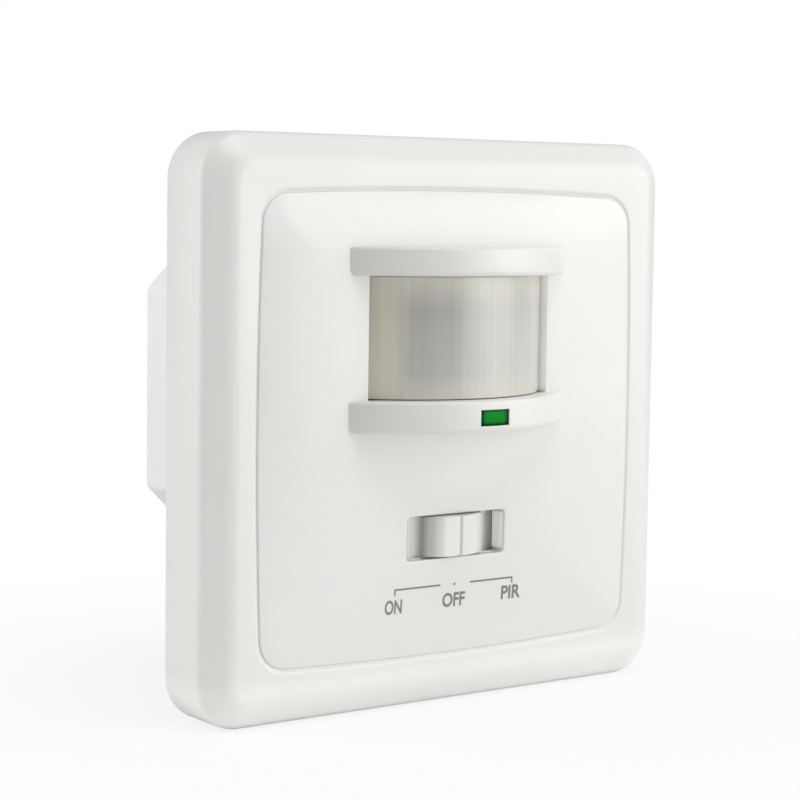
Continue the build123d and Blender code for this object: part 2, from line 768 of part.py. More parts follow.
# Screws that join the carrier, the plate and the rear housing
with BuildPart() as assembly_screws:
    extrude(discs_at(carrier_floor_top, screw_head_radius, screw_places), amount=screw_head_height)
    chamfer(assembly_screws.faces().group_by(Axis.Y)[0].edges(), cross_width / 2)
    extrude(discs_at(-screw_length, screw_radius, screw_places), amount=screw_length + carrier_floor_top)
    cross_level = carrier_floor_top + screw_head_height - cross_depth
    cut_depth = cross_depth + overrun
    extrude(boxes_at(cross_level, screw_head_radius, cross_width, screw_places), amount=cut_depth,
            mode=Mode.SUBTRACT)
    extrude(boxes_at(cross_level, cross_width, screw_head_radius, screw_places), amount=cut_depth,
            mode=Mode.SUBTRACT)
save(assembly_screws.part, "assembly_screws")

# Sensor board with its holes
case_inside_back = sensor_board_front + case_floor
header_hole = header_pin_size + 2 * fit_gap
contact_hole = contact_size + 2 * fit_gap
with BuildPart() as sensor_board:
    with BuildSketch(level(sensor_board_back)):
        with Locations((0, sensor_board_middle)):
            RectangleRounded(sensor_board_width, sensor_board_height, board_corner_radius)
        with Locations(*stake_places):
            Circle(stake_radius + stake_gap, mode=Mode.SUBTRACT)
        with Locations(*header_places):
            Rectangle(header_hole, header_hole, mode=Mode.SUBTRACT)
        with Locations(*contact_places):
            Rectangle(contact_hole, contact_hole, mode=Mode.SUBTRACT)
        with Locations(*lead_places):
            Circle(lead_radius + fit_gap, mode=Mode.SUBTRACT)
    extrude(amount=board_thickness)
save(sensor_board.part, "sensor_board")

# Heat sensor: a metal can with a dark filter in its face and three leads
can_front = sensor_board_front + can_height
with BuildPart() as pir_sensor_can:
    extrude(disc_at(sensor_board_front, can_flange_radius, 0, window_middle), amount=can_flange_thickness)
    extrude(disc_at(sensor_board_front, can_radius, 0, window_middle), amount=can_height)
    fillet(pir_sensor_can.faces().sort_by(Axis.Y)[0].edges(), can_filter_thickness)
    extrude(box_at(can_front - can_filter_thickness, can_filter_width, can_filter_height, 0, window_middle),
            amount=can_filter_thickness, mode=Mode.SUBTRACT)
save(pir_sensor_can.part, "pir_sensor_can")

with BuildPart() as pir_sensor_filter:
    extrude(box_at(can_front - can_filter_thickness, can_filter_width - 2 * fit_gap,
                   can_filter_height - 2 * fit_gap,
                   0, window_middle), amount=can_filter_thickness - fit_gap)
save(pir_sensor_filter.part, "pir_sensor_filter")

with BuildPart() as pir_sensor_leads:
    extrude(discs_at(sensor_board_back - pin_tail, lead_radius, lead_places),
            amount=board_thickness + pin_tail)
save(pir_sensor_leads.part, "pir_sensor_leads")

# Daylight sensor beside the heat sensor
light_sensor_x = window_width / 2 - light_sensor_radius - light_sensor_inset
light_sensor_z = window_bottom + light_sensor_radius + light_sensor_inset
with BuildPart() as light_sensor:
    extrude(disc_at(sensor_board_front, light_sensor_radius, light_sensor_x, light_sensor_z),
            amount=light_sensor_height)
    fillet(light_sensor.faces().sort_by(Axis.Y)[0].edges(), edge_break)
save(light_sensor.part, "light_sensor")

# Lamp behind the light window
with BuildPart() as indicator_led:
    extrude(box_at(sensor_board_front, led_width, led_height, 0, led_z), amount=led_depth)
    extrude(disc_at(sensor_board_front, led_dome_radius, 0, led_z), amount=led_depth + led_dome_radius)
    fillet(indicator_led.faces().sort_by(Axis.Y)[0].edges(), led_dome_radius / 2)
save(indicator_led.part, "indicator_led")

# Control chip with its legs
with BuildPart() as control_chip:
    extrude(box_at(sensor_board_front + chip_standoff, chip_length, chip_width, 0, trimmer_z),
            amount=chip_height)
    chamfer(control_chip.faces().sort_by(Axis.Y)[0].edges(), chip_standoff)
    leg_places = row_places(chip_legs_each_side, chip_length / chip_legs_each_side, trimmer_z)
    extrude(boxes_at(sensor_board_front, chip_leg_width, chip_width + 2 * chip_leg_reach, leg_places),
            amount=chip_leg_thickness)
save(control_chip.part, "control_chip")

# Two trimmers: a body with a round well, and a slotted rotor on a pin
rotor_base = sensor_board_front + trimmer_height - rotor_recess


def trimmer_body(x):
    """The body of a trimmer, with the well that its rotor turns in."""
    with BuildPart() as body:
        extrude(box_at(sensor_board_front, trimmer_size, trimmer_size, x, trimmer_z), amount=trimmer_height)
        chamfer(body.edges().filter_by(Axis.Y), edge_break)
        extrude(disc_at(rotor_base, rotor_radius + rotor_gap, x, trimmer_z), amount=rotor_recess,
                mode=Mode.SUBTRACT)
        extrude(disc_at(sensor_board_front, rotor_pin_radius + rotor_gap, x, trimmer_z),
                amount=trimmer_height,
                mode=Mode.SUBTRACT)
    return body.part


def trimmer_rotor(x):
    """The rotor of a trimmer, with a slot across its face and an arrow notch at one end."""
    with BuildPart() as rotor:
        extrude(disc_at(rotor_base + rotor_gap, rotor_radius, x, trimmer_z), amount=rotor_height)
        rotor_face = rotor_base + rotor_gap + rotor_height
        extrude(box_at(rotor_face - rotor_slot_depth, rotor_slot_width, 2 * rotor_radius + overrun, x,
                       trimmer_z),
                amount=rotor_slot_depth + overrun, mode=Mode.SUBTRACT)
        extrude(box_at(rotor_face - rotor_slot_depth, rotor_radius, rotor_slot_width, x, trimmer_z),
                amount=rotor_slot_depth + overrun, mode=Mode.SUBTRACT)
        pin_bottom_level = sensor_board_front + rotor_gap
        extrude(disc_at(pin_bottom_level, rotor_pin_radius, x, trimmer_z),
                amount=rotor_base + rotor_gap - pin_bottom_level)
    return rotor.part


save(trimmer_body(-trimmer_x), "time_trimmer_body")
save(trimmer_rotor(-trimmer_x), "time_trimmer_rotor")
save(trimmer_body(trimmer_x), "lux_trimmer_body")
save(trimmer_rotor(trimmer_x), "lux_trimmer_rotor")

# Slide switch: case, fixed contacts, and the stem with its wiper
case_front = sensor_board_front + case_depth
case_inside_front = case_front - case_lid
with BuildPart() as slide_switch_case:
    extrude(box_at(sensor_board_front, case_width, case_height, 0, slot_middle), amount=case_depth)
    fillet(slide_switch_case.edges().filter_by(Axis.Y), edge_break)
    extrude(box_at(case_inside_back, case_width - 2 * case_wall, case_height - 2 * case_wall, 0,
                   slot_middle),
            amount=case_inside_front - case_inside_back, mode=Mode.SUBTRACT)
    stem_run = stem_width + 2 * slide_travel + 4 * block_gap
    extrude(box_at(case_inside_back, stem_run, stem_height + 2 * block_gap, 0,
                   slot_middle), amount=case_depth, mode=Mode.SUBTRACT)
    extrude(boxes_at(sensor_board_front, contact_hole, contact_hole, contact_places), amount=case_floor,
            mode=Mode.SUBTRACT)
save(slide_switch_case.part, "slide_switch_case")

contact_face = case_inside_back + fit_gap
contact_back = sensor_board_back - pin_tail
with BuildPart() as slide_switch_contacts:
    extrude(boxes_at(contact_back, contact_size, contact_size, contact_places),
            amount=contact_face - contact_back)
save(slide_switch_contacts.part, "slide_switch_contacts")

wiper_back = contact_face + wiper_dimple + fit_gap
block_back = wiper_back + wiper_thickness
with BuildPart() as slide_switch_wiper:
    extrude(box_at(wiper_back, wiper_width, wiper_height, 0, slot_middle), amount=wiper_thickness)
    dimple_places = row_places(2, wiper_width - contact_size, slot_middle)
    extrude(discs_at(contact_face + fit_gap, contact_size / 2, dimple_places),
            amount=wiper_dimple)
save(slide_switch_wiper.part, "slide_switch_wiper")

with BuildPart() as slide_switch_stem:
    block_height = case_height - 2 * case_wall - 2 * block_gap
    extrude(box_at(block_back, block_width, block_height, 0, slot_middle),
            amount=case_inside_front - block_gap - block_back)
    extrude(box_at(block_back, stem_width, stem_height, 0, slot_middle), amount=stem_tip - block_back)
    chamfer(slide_switch_stem.faces().sort_by(Axis.Y)[0].edges(), edge_break)
save(slide_switch_stem.part, "slide_switch_stem")

# Board joint: strip and pins under the sensor board, socket on the power board
with BuildPart() as header_strip:
    extrude(box_at(header_back, header_length, header_cell, 0, header_z), amount=header_base_height)
    extrude(boxes_at(header_back, header_hole, header_hole, header_places), amount=header_base_height,
            mode=Mode.SUBTRACT)
save(header_strip.part, "header_strip")

with BuildPart() as header_socket:
    extrude(box_at(power_board_front, header_length, header_cell, 0, header_z), amount=socket_height)
    extrude(boxes_at(power_board_front, header_hole, header_hole, header_places), amount=socket_height,
            mode=Mode.SUBTRACT)
save(header_socket.part, "header_socket")

with BuildPart() as header_pins:
    extrude(boxes_at(power_board_back - pin_tail, header_pin_size, header_pin_size, header_places),
            amount=sensor_board_front + 2 * pin_tail - power_board_back)
save(header_pins.part, "header_pins")

# Power board, wider at its waist, with holes for the board joint and the terminals' tails
with BuildPart() as power_board:
    with BuildSketch(level(power_board_back)) as power_outline:
        with Locations((0, housing_rise)):
            Rectangle(waist_width, power_board_height)
            Rectangle(power_board_width, waist_height)
        fillet(power_outline.vertices(), board_corner_radius)
        with Locations(*header_places):
            Rectangle(header_hole, header_hole, mode=Mode.SUBTRACT)
        with Locations(*terminal_places):
            Rectangle(tail_width + 2 * fit_gap, tail_thickness + 2 * fit_gap, mode=Mode.SUBTRACT)
    extrude(amount=board_thickness)
save(power_board.part, "power_board")


def block_on_board(width, tall, depth, x, z):
    """A boxed component that stands on the back of the power board, with rounded edges."""
    with BuildPart() as block:
        extrude(box_at(power_board_back - depth, width, tall, x, z), amount=depth)
        fillet(block.edges().filter_by(Axis.Y), component_edge_radius)
        chamfer(block.faces().sort_by(Axis.Y)[-1].edges(), component_edge_radius / 2)
    return block.part


save(block_on_board(relay_width, relay_height, relay_depth, relay_x, housing_low + relay_row), "relay")
save(block_on_board(film_width, film_height, film_depth, column_x + film_width / 2, housing_low + film_row),
     "film_capacitor")

# Electrolytic capacitor: a can with a rolled groove near its foot
electrolytic_x = column_x + electrolytic_radius
electrolytic_z = housing_low + electrolytic_row
with BuildPart() as electrolytic_capacitor:
    with BuildSketch(Plane.XY.offset(electrolytic_z)):
        with BuildLine():
            foot_y = -power_board_back
            groove_y = foot_y + electrolytic_groove_place
            end_y = foot_y + electrolytic_height
            wall_x = electrolytic_x + electrolytic_radius
            Polyline((electrolytic_x, foot_y), (wall_x, foot_y), (wall_x, groove_y - electrolytic_groove))
            ThreePointArc((wall_x, groove_y - electrolytic_groove), (wall_x - electrolytic_groove, groove_y),
                          (wall_x, groove_y + electrolytic_groove))
            Polyline((wall_x, groove_y + electrolytic_groove), (wall_x, end_y - electrolytic_groove),
                     (wall_x - electrolytic_groove, end_y), (electrolytic_x, end_y),
                     (electrolytic_x, foot_y))
        make_face()
    revolve(axis=Axis((electrolytic_x, 0, electrolytic_z), (0, 1, 0)))
save(electrolytic_capacitor.part, "electrolytic_capacitor")

# Varistor: an upright coated disc on two legs
varistor_x = electrolytic_x + electrolytic_radius + close_gap + varistor_radius
with BuildPart() as varistor:
    varistor_y = -power_board_back + varistor_radius + wire_radius
    with BuildSketch(Plane.XY.offset(electrolytic_z - varistor_thickness / 2)):
        with Locations((varistor_x, varistor_y)):
            Circle(varistor_radius)
    extrude(amount=varistor_thickness)
    fillet(varistor.edges(), varistor_thickness / 3)
    leg_places = [(varistor_x + side * varistor_radius / 2, electrolytic_z) for side in (-1, 1)]
    extrude(discs_at(power_board_back - varistor_radius, leg_radius, leg_places), amount=varistor_radius)
save(varistor.part, "varistor")


def lying_component(radius, length, x, z):
    """A small cylinder that lies on the back of the power board, with a bent lead at each end."""
    axis_y = -power_board_back + radius
    lead_reach = length / 2 + 2 * wire_radius
    with BuildPart() as lying:
        with BuildSketch(Plane.YZ.offset(x - length / 2)):
            with Locations((axis_y, z)):
                Circle(radius)
        extrude(amount=length)
        fillet(lying.edges(), radius / 4)
        with BuildSketch(Plane.YZ.offset(x - lead_reach)):
            with Locations((axis_y, z)):
                Circle(wire_radius)
        extrude(amount=2 * lead_reach)
        extrude(discs_at(-axis_y - leg_radius, leg_radius, [(x - lead_reach, z), (x + lead_reach, z)]),
                amount=radius + leg_radius)
    return lying.part


save(lying_component(fuse_radius, fuse_length, relay_x, housing_low + fuse_row), "fuse_resistor")

with BuildPart() as rectifier_diodes:
    diode_step = diode_length + 2 * diode_radius
    for place_x, place_z in row_places(diode_count, diode_step, housing_low + diode_row):
        add(lying_component(diode_radius, diode_length, place_x, place_z))
save(rectifier_diodes.part, "rectifier_diodes")

# Terminal block in its pocket: three chambers, each with a wire hole below and a screw hole behind
chamber_front = housing_back + chamber_back + chamber_depth
wire_y = -chamber_front + cage_gap + cage_wall + wire_hole_radius
with BuildPart() as terminal_block:
    extrude(box_at(housing_back, terminal_block_width, terminal_block_height, 0, terminal_z),
            amount=terminal_block_depth)
    chamfer(terminal_block.faces().sort_by(Axis.Y)[-1].edges(), edge_break)
    extrude(boxes_at(chamber_front - chamber_depth, chamber_width, chamber_height, terminal_places),
            amount=chamber_depth, mode=Mode.SUBTRACT)
    extrude(discs_at(housing_back - overrun, terminal_head_radius + screw_gap, terminal_places),
            amount=chamber_back + 2 * overrun, mode=Mode.SUBTRACT)
    with BuildSketch(Plane.XY.offset(housing_low - overrun)):
        with Locations(*row_places(terminal_count, terminal_step, wire_y)):
            Circle(wire_hole_radius)
    extrude(amount=terminal_block_height / 2 + overrun, mode=Mode.SUBTRACT)
    extrude(boxes_at(chamber_front - overrun, tail_width + 2 * fit_gap, tail_thickness + 2 * fit_gap,
                     terminal_places), amount=terminal_block_depth, mode=Mode.SUBTRACT)
save(terminal_block.part, "terminal_block")

# Brass cages with a wire way through them, a tapped hole behind and a tail to the power board
cage_width = chamber_width - 2 * cage_gap
cage_height = chamber_height - 2 * cage_gap
cage_depth = chamber_depth - 2 * cage_gap
cage_front = chamber_front - cage_gap
cage_back = cage_front - cage_depth
way_depth = cage_depth - 2 * cage_wall
with BuildPart() as terminal_clamps:
    extrude(boxes_at(cage_back, cage_width, cage_height, terminal_places), amount=cage_depth)
    with BuildSketch(Plane.XY.offset(terminal_z - cage_height)):
        with Locations(*row_places(terminal_count, terminal_step, -cage_front + cage_wall + way_depth / 2)):
            Rectangle(cage_width - 2 * cage_wall, way_depth)
    extrude(amount=2 * cage_height, mode=Mode.SUBTRACT)
    extrude(discs_at(cage_back - overrun, terminal_screw_radius + fit_gap, terminal_places),
            amount=cage_wall + 2 * overrun, mode=Mode.SUBTRACT)
    extrude(boxes_at(cage_front, tail_width, tail_thickness, terminal_places),
            amount=power_board_front + pin_tail - cage_front)
save(terminal_clamps.part, "terminal_clamps")

# Clamping screws, reached from the back
head_back = housing_back + terminal_head_sink
with BuildPart() as terminal_screws:
    extrude(discs_at(head_back, terminal_head_radius, terminal_places), amount=terminal_head_height)
    chamfer(terminal_screws.faces().group_by(Axis.Y)[-1].edges(), edge_break)
    extrude(discs_at(head_back, terminal_screw_radius, terminal_places),
            amount=cage_back + terminal_screw_end - head_back)
    extrude(boxes_at(head_back - overrun, cross_width, 2 * terminal_head_radius + overrun, terminal_places),
            amount=overrun + cross_depth, mode=Mode.SUBTRACT)
save(terminal_screws.part, "terminal_screws")
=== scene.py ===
import bmesh
import bpy
import json
import math
from mathutils import Matrix, Vector
from mathutils.geometry import delaunay_2d_cdt


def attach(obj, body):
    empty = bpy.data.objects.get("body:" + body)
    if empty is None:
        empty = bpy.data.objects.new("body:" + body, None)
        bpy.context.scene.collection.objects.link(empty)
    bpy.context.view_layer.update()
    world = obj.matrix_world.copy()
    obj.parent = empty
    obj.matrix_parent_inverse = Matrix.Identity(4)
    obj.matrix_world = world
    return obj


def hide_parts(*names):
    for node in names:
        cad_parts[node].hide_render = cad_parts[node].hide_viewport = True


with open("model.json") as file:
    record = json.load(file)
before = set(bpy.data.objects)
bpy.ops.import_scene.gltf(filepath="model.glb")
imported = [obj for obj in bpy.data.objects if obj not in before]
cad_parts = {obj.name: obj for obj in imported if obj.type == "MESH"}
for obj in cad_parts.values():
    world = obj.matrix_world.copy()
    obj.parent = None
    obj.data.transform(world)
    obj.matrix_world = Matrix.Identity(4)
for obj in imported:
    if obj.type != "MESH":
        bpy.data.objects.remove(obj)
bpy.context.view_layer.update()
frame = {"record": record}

# Sizes in millimetres, measured as in the part: a level is a distance in front of the wall
METRE = 1000

# Cover frame, whose bevel is a flat band between two rounds; its tilt is in degrees
FRAME_HALF, FRAME_DEPTH, FRAME_RADIUS, FRAME_LEAST_RADIUS = 40.5, 11.5, 6.5, 1.6
FRAME_WALL, COLLAR_WALL, HOLLOW_FRONT, HOLLOW_ROUND = 2.0, 1.6, 9.3, 1.2
SIDE_MIDDLE = 4.5
BEVEL_START, BEVEL_TILT, BEVEL_FLAT, BEVEL_END_STEP = 7.97, 54, 2.23, 0.5
BEVEL_OUTER_RADIUS, BEVEL_INNER_RADIUS = 1.8, 4.0
LEDGE_WIDTH, LEDGE_FRONT, LEDGE_BACK = 2.0, 2.0, 1.02
RIB_STEP, RIB_MIDDLE, RIB_LEVEL = 16.64, 36.85, 5.6
RIB_HALF_LENGTH, RIB_HALF_LEVEL, RIB_HALF_WIDTH = 1.75, 3.6, 0.6

# Seam around the panel, with a thin shelf that makes it a shallow groove
SEAM_GAP, SEAM_ROUND_WIDTH, SEAM_ROUND_DEPTH = 0.35, 0.55, 0.19
SHELF_REACH, SHELF_EDGE = 0.33, 0.03
SHELF_EDGE_LEVEL, SHELF_FRONT, SHELF_BACK, SHELF_FOOT = 11.3, 11.27, 10.3, 10.2

# Centre panel
PANEL_HALF, PANEL_BOW, PANEL_RADIUS, PANEL_RISE = 32.96, 0.8, 3.8, 1.35
PANEL_EDGE, PANEL_WALL, PANEL_BACK, CROWN_POWER = 0.22, 1.3, 2.1, 2.5
TOP_HALF_X, TOP_HALF_Z, TOP_RADIUS = 18.2, 14.3, 6.0
PANEL_INSETS = (0, 0.05, 0.12, 0.22, 0.35, 0.8, 1.6, 2.8, 4.4, 6.4, 8.6)
PANEL_RADIUS_SHRINK, PANEL_LEAST_RADIUS, PANEL_BOW_FADE = 0.6, 1.5, 40
SLOT_GROWS, TOP_GROWS = (0, 0.06, 0.14, 0.25, 0.6), (0, 1.2, 2.6, 4.2)
TOP_RADIUS_GROWTH, TOP_MARGIN = 0.7, 9.5
GRID_STEP, GRID_COUNT, GRID_HALF, GRID_RADIUS, GRID_SLOT_GAP = 1.35, 24, 24.3, 3, 1
MERGE_DISTANCE, SLOT_TOLERANCE, OUTLINE_TOLERANCE, NEAR_EDGE = 0.0001, 0.001, 0.02, 0.1
CLIP_X, CLIP_Z, CLIP_LEVEL = 27.9, 15.15, 6.6
CLIP_HALF_WIDTH, CLIP_HALF_LEVEL, CLIP_HALF_LENGTH = 0.6, 3.7, 4.0

# Lens window, lips and lens
WINDOW_X, WINDOW_HALF, WINDOW_RADIUS, WINDOW_BACK = 15.9, 8.6, 0.2, 9.0
WINDOW_LOW, WINDOW_TOP, WINDOW_MIDDLE = 4.0, 21.2, 12.6
LIP_RADIUS, LIP_CENTRE, LIP_EDGE, LIP_TOP_EDGE = 26.1, 4.9, 0.8, 0.45
LIP_LOW, LIP_TOP, LIP_BACK, LIP_REACH_DEGREES = -0.4, 25.2, 10.4, 54
LENS_RADIUS, LENS_CENTRE, LENS_WALL, LENS_INNER_SHARE = 21.2, 2.9, 0.9, 0.99
LENS_HALF, LENS_INNER_HALF, FLANGE_HALF, FLANGE_FRONT, FLANGE_BACK = 15.75, 14.85, 18.15, 9.0, 8.2
LENS_HEIGHTS = (4.15, 4.3, 20.9, 21.05)
FLUTE_DEPTH, FLUTES_EACH_SIDE = 0.22, 5

# Light window in the lower lip
LED_Z, LED_X, LED_HALF = 1.65, 2.45, 1.08
LED_GAP, LED_HOLE_DEPTH, LED_RIM_DROP, LED_BACK = 0.06, 1.5, 0.12, 6.6

# Slot and slider knob
SLOT_Z, SLOT_X, SLOT_HALF, SLOT_RADIUS = -15.9, 8.7, 3.15, 0.5
SLOT_EDGE, SLOT_BACK = 0.25, 9.8
KNOB_CURVE_RADIUS, KNOB_CURVE_CENTRE, KNOB_BACK = 8.25, 5.45, 8.9
KNOB_HALF_Z, KNOB_EDGE, KNOB_FLAT = 2.9, 0.3, 1.6
SKIRT_HALF_X, SKIRT_HALF_Z, SKIRT_LEVEL, SKIRT_HALF_LEVEL = 12.3, 4.15, 9.2, 0.5

# Glowing strips of painted light, broken edges and print
GLOW_STRIP_GAP = 0.02
WINDOW_GLOW_STRIP_BACK, WINDOW_GLOW_STRIP_DROP = 9.1, 0.05
SLOT_GLOW_STRIP_BACK, SLOT_GLOW_STRIP_DROP = 9.85, 0.27
BROKEN_EDGE = 0.12
INK_LIFT, LINE_WIDTH, LINE_Z, LINE_STEP = 0.012, 0.27, -22.95, 0.5
DROP_TOP, DROP_LOW, DOT_RADIUS, DOT_POINTS = -23.0, -23.8, 0.2, 20
WORD_HEIGHT, CAPITAL_SHARE, LETTER_WEIGHT = 1.93, 0.70, 0.08

# Floor
FLOOR_HALF, FLOOR_GAP = 3000, 0.1


# Meshes

def add_mesh(name, points, faces, material, body, smooth=True, angle=35):
    """A piece from points (x, level, z) in millimetres, which rides on a body."""
    mesh = bpy.data.meshes.new(name)
    mesh.from_pydata([(x / METRE, -level / METRE, z / METRE) for x, level, z in points], [], faces)
    mesh.validate()
    piece = bpy.data.objects.new(name, mesh)
    bpy.context.scene.collection.objects.link(piece)
    mesh.materials.append(material)
    if smooth:
        mesh.polygons.foreach_set("use_smooth", [True] * len(mesh.polygons))
        mesh.set_sharp_from_angle(angle=math.radians(angle))
    mesh.update()
    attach(piece, body)
    return piece


def orient(piece):
    """Turns all faces of a closed piece outwards."""
    work = bmesh.new()
    work.from_mesh(piece.data)
    bmesh.ops.recalc_face_normals(work, faces=work.faces)
    work.to_mesh(piece.data)
    work.free()


def add_box(name, middle, halves, slot, body):
    """A box about a middle point (x, level, z), with slightly broken edges."""
    corners = [(a, b, c) for a in (-1, 1) for b in (-1, 1) for c in (-1, 1)]
    points = [tuple(spot + sign * half for spot, sign, half in zip(middle, corner, halves))
              for corner in corners]
    faces = [(0, 1, 3, 2), (4, 6, 7, 5), (0, 4, 5, 1), (2, 3, 7, 6), (0, 2, 6, 4), (1, 5, 7, 3)]
    piece = add_mesh(name, points, faces, materials[slot], body, smooth=False)
    orient(piece)
    broken = piece.modifiers.new("broken", "BEVEL")
    broken.width = BROKEN_EDGE / METRE
    broken.segments = 2
    return piece


def ring_faces(rings, count, closed=False):
    """Quads between rings of equal length."""
    faces = []
    for ring in range(rings if closed else rings - 1):
        here, after = ring * count, (ring + 1) % rings * count
        for place in range(count):
            other = (place + 1) % count
            faces.append((here + place, here + other, after + other, after + place))
    return faces


def grid_faces(rows, columns):
    """Quads of an open grid."""
    return [(row * columns + column, row * columns + column + 1,
             (row + 1) * columns + column + 1, (row + 1) * columns + column)
            for row in range(rows - 1) for column in range(columns - 1)]


def grid_edge(rows, columns):
    """The places around the edge of a grid, in order."""
    last = (rows - 1) * columns
    return (list(range(columns)) + [row * columns + columns - 1 for row in range(1, rows)]
            + [last + column for column in range(columns - 2, -1, -1)]
            + [row * columns for row in range(rows - 2, 0, -1)])


def end_faces(rows, columns):
    """Caps over the first and the last row."""
    return [tuple(range(columns)), tuple(reversed(range((rows - 1) * columns, rows * columns)))]


def bar_faces(rows, columns):
    """What closes a grid into a bar: its two end caps and the side between each row's ends."""
    starts = [row * columns for row in range(rows)]
    side = [(here, here + columns - 1, after + columns - 1, after) for here, after in zip(starts, starts[1:])]
    return end_faces(rows, columns) + side


def quarter_turns(steps):
    """Angles from none to a quarter turn."""
    return [step / steps * math.pi / 2 for step in range(steps + 1)]


def rounded(half_x, half_z, radius, bow=0.0, middle=0.0, side=16, corner=14):
    """Points around a rounded rectangle whose sides may bow outwards."""
    flat_x, flat_z = half_x - bow, half_z - bow
    points = []
    for quarter in range(4):
        turn = quarter * math.pi / 2
        reach_x, reach_z = (flat_x, flat_z) if quarter % 2 == 0 else (flat_z, flat_x)
        local = [(reach_x, -(reach_z - radius) + 2 * (reach_z - radius) * step / side)
                 for step in range(side)]
        local += [(reach_x - radius + radius * math.cos(bend), reach_z - radius + radius * math.sin(bend))
                  for bend in quarter_turns(corner)[:-1]]
        for x, z in local:
            points.append((x * math.cos(turn) - z * math.sin(turn), x * math.sin(turn) + z * math.cos(turn)))
    return [(x * (1 + bow / flat_x * (1 - (z / flat_z) ** 2)),
             middle + z * (1 + bow / flat_z * (1 - (x / flat_x) ** 2))) for x, z in points]


def box_distance(x, z, half_x, half_z, radius):
    """Distance outside a rounded rectangle, negative inside it."""
    out_x, out_z = abs(x) - half_x + radius, abs(z) - half_z + radius
    return math.hypot(max(out_x, 0), max(out_z, 0)) + min(max(out_x, out_z), 0) - radius


def slot_distance(x, z):
    """Distance outside the switch slot."""
    return box_distance(x, z - SLOT_Z, SLOT_X, SLOT_HALF, SLOT_RADIUS)


def panel_distance(x, z):
    """Distance outside the panel's bowed outline, measured as if its sides were straight."""
    half = PANEL_HALF - PANEL_BOW
    near_x = x / (1 + PANEL_BOW / half * (1 - min(1, (z / half) ** 2)))
    near_z = z / (1 + PANEL_BOW / half * (1 - min(1, (x / half) ** 2)))
    return box_distance(near_x, near_z, half, half, PANEL_RADIUS)


def edge_fall(near, radius):
    """How far a rounded edge lies below its face, at a distance from the edge's end."""
    return radius * (1 - math.sqrt(max(0.0, 1 - (1 - near / radius) ** 2))) if near < radius else 0


def crown(x, z):
    """The level of the panel's face, which rises from its edge to the flat top around the window."""
    edge = max(0.0, -panel_distance(x, z))
    inner = max(0.0, box_distance(x, z - WINDOW_MIDDLE, TOP_HALF_X, TOP_HALF_Z, TOP_RADIUS))
    share = edge / (edge + inner) if edge + inner > 0 else 1.0
    return FRAME_DEPTH + PANEL_RISE * (1 - (1 - share) ** CROWN_POWER) - edge_fall(edge, PANEL_EDGE)


# Materials, with the grain and finish that all of them share

GRAIN_SCALE, BROAD_SCALE, BRUSH_STRETCH = 1800.0, 45, 0.04
ROUGHNESS_SPREAD, LEAST_ROUGHNESS, BUMP_STRENGTH = 0.05, 0.03, 0.35
COAT_ROUGHNESS, SCATTER_SCALE = 0.15, 0.002


def add_node(material, kind, **values):
    """A shader node with some inputs set; an underscore in an input's name stands for a space."""
    node = material.node_tree.nodes.new("ShaderNode" + kind)
    for socket, value in values.items():
        node.inputs[socket.replace("_", " ")].default_value = value
    return node


def shader_of(material):
    return material.node_tree.nodes["Principled BSDF"]


def make_material(name, colour, roughness, metallic=0.0, depth=0.02, shade=0.03, brushed=False, coat=0.0,
                  subsurface=0.0):
    """A material with a fine grain, a faint change of tone and an uneven finish."""
    material = bpy.data.materials.new(name)
    material.use_nodes = True
    link = material.node_tree.links.new
    shader = shader_of(material)
    shader.inputs["Metallic"].default_value = metallic
    shader.inputs["Coat Weight"].default_value = coat
    shader.inputs["Coat Roughness"].default_value = COAT_ROUGHNESS
    shader.inputs["Subsurface Weight"].default_value = subsurface
    shader.inputs["Subsurface Scale"].default_value = SCATTER_SCALE
    place = add_node(material, "TexCoord")
    stretch = add_node(material, "Mapping", Scale=(1, 1, BRUSH_STRETCH if brushed else 1))
    link(place.outputs["Object"], stretch.inputs["Vector"])
    fine = add_node(material, "TexNoise", Scale=GRAIN_SCALE, Detail=3)
    link(stretch.outputs["Vector"], fine.inputs["Vector"])
    broad = add_node(material, "TexNoise", Scale=BROAD_SCALE)
    link(place.outputs["Object"], broad.inputs["Vector"])
    tone = add_node(material, "MixRGB", Color1=(*[c * (1 - shade) for c in colour], 1),
                    Color2=(*[min(1, c * (1 + shade)) for c in colour], 1))
    link(broad.outputs["Fac"], tone.inputs["Fac"])
    link(tone.outputs["Color"], shader.inputs["Base Color"])
    rough = add_node(material, "MapRange", To_Min=max(LEAST_ROUGHNESS, roughness - ROUGHNESS_SPREAD),
                     To_Max=roughness + ROUGHNESS_SPREAD)
    link(fine.outputs["Fac"], rough.inputs["Value"])
    link(rough.outputs["Result"], shader.inputs["Roughness"])
    bump = add_node(material, "Bump", Strength=BUMP_STRENGTH, Distance=depth / METRE)
    link(fine.outputs["Fac"], bump.inputs["Height"])
    link(bump.outputs["Normal"], shader.inputs["Normal"])
    return material


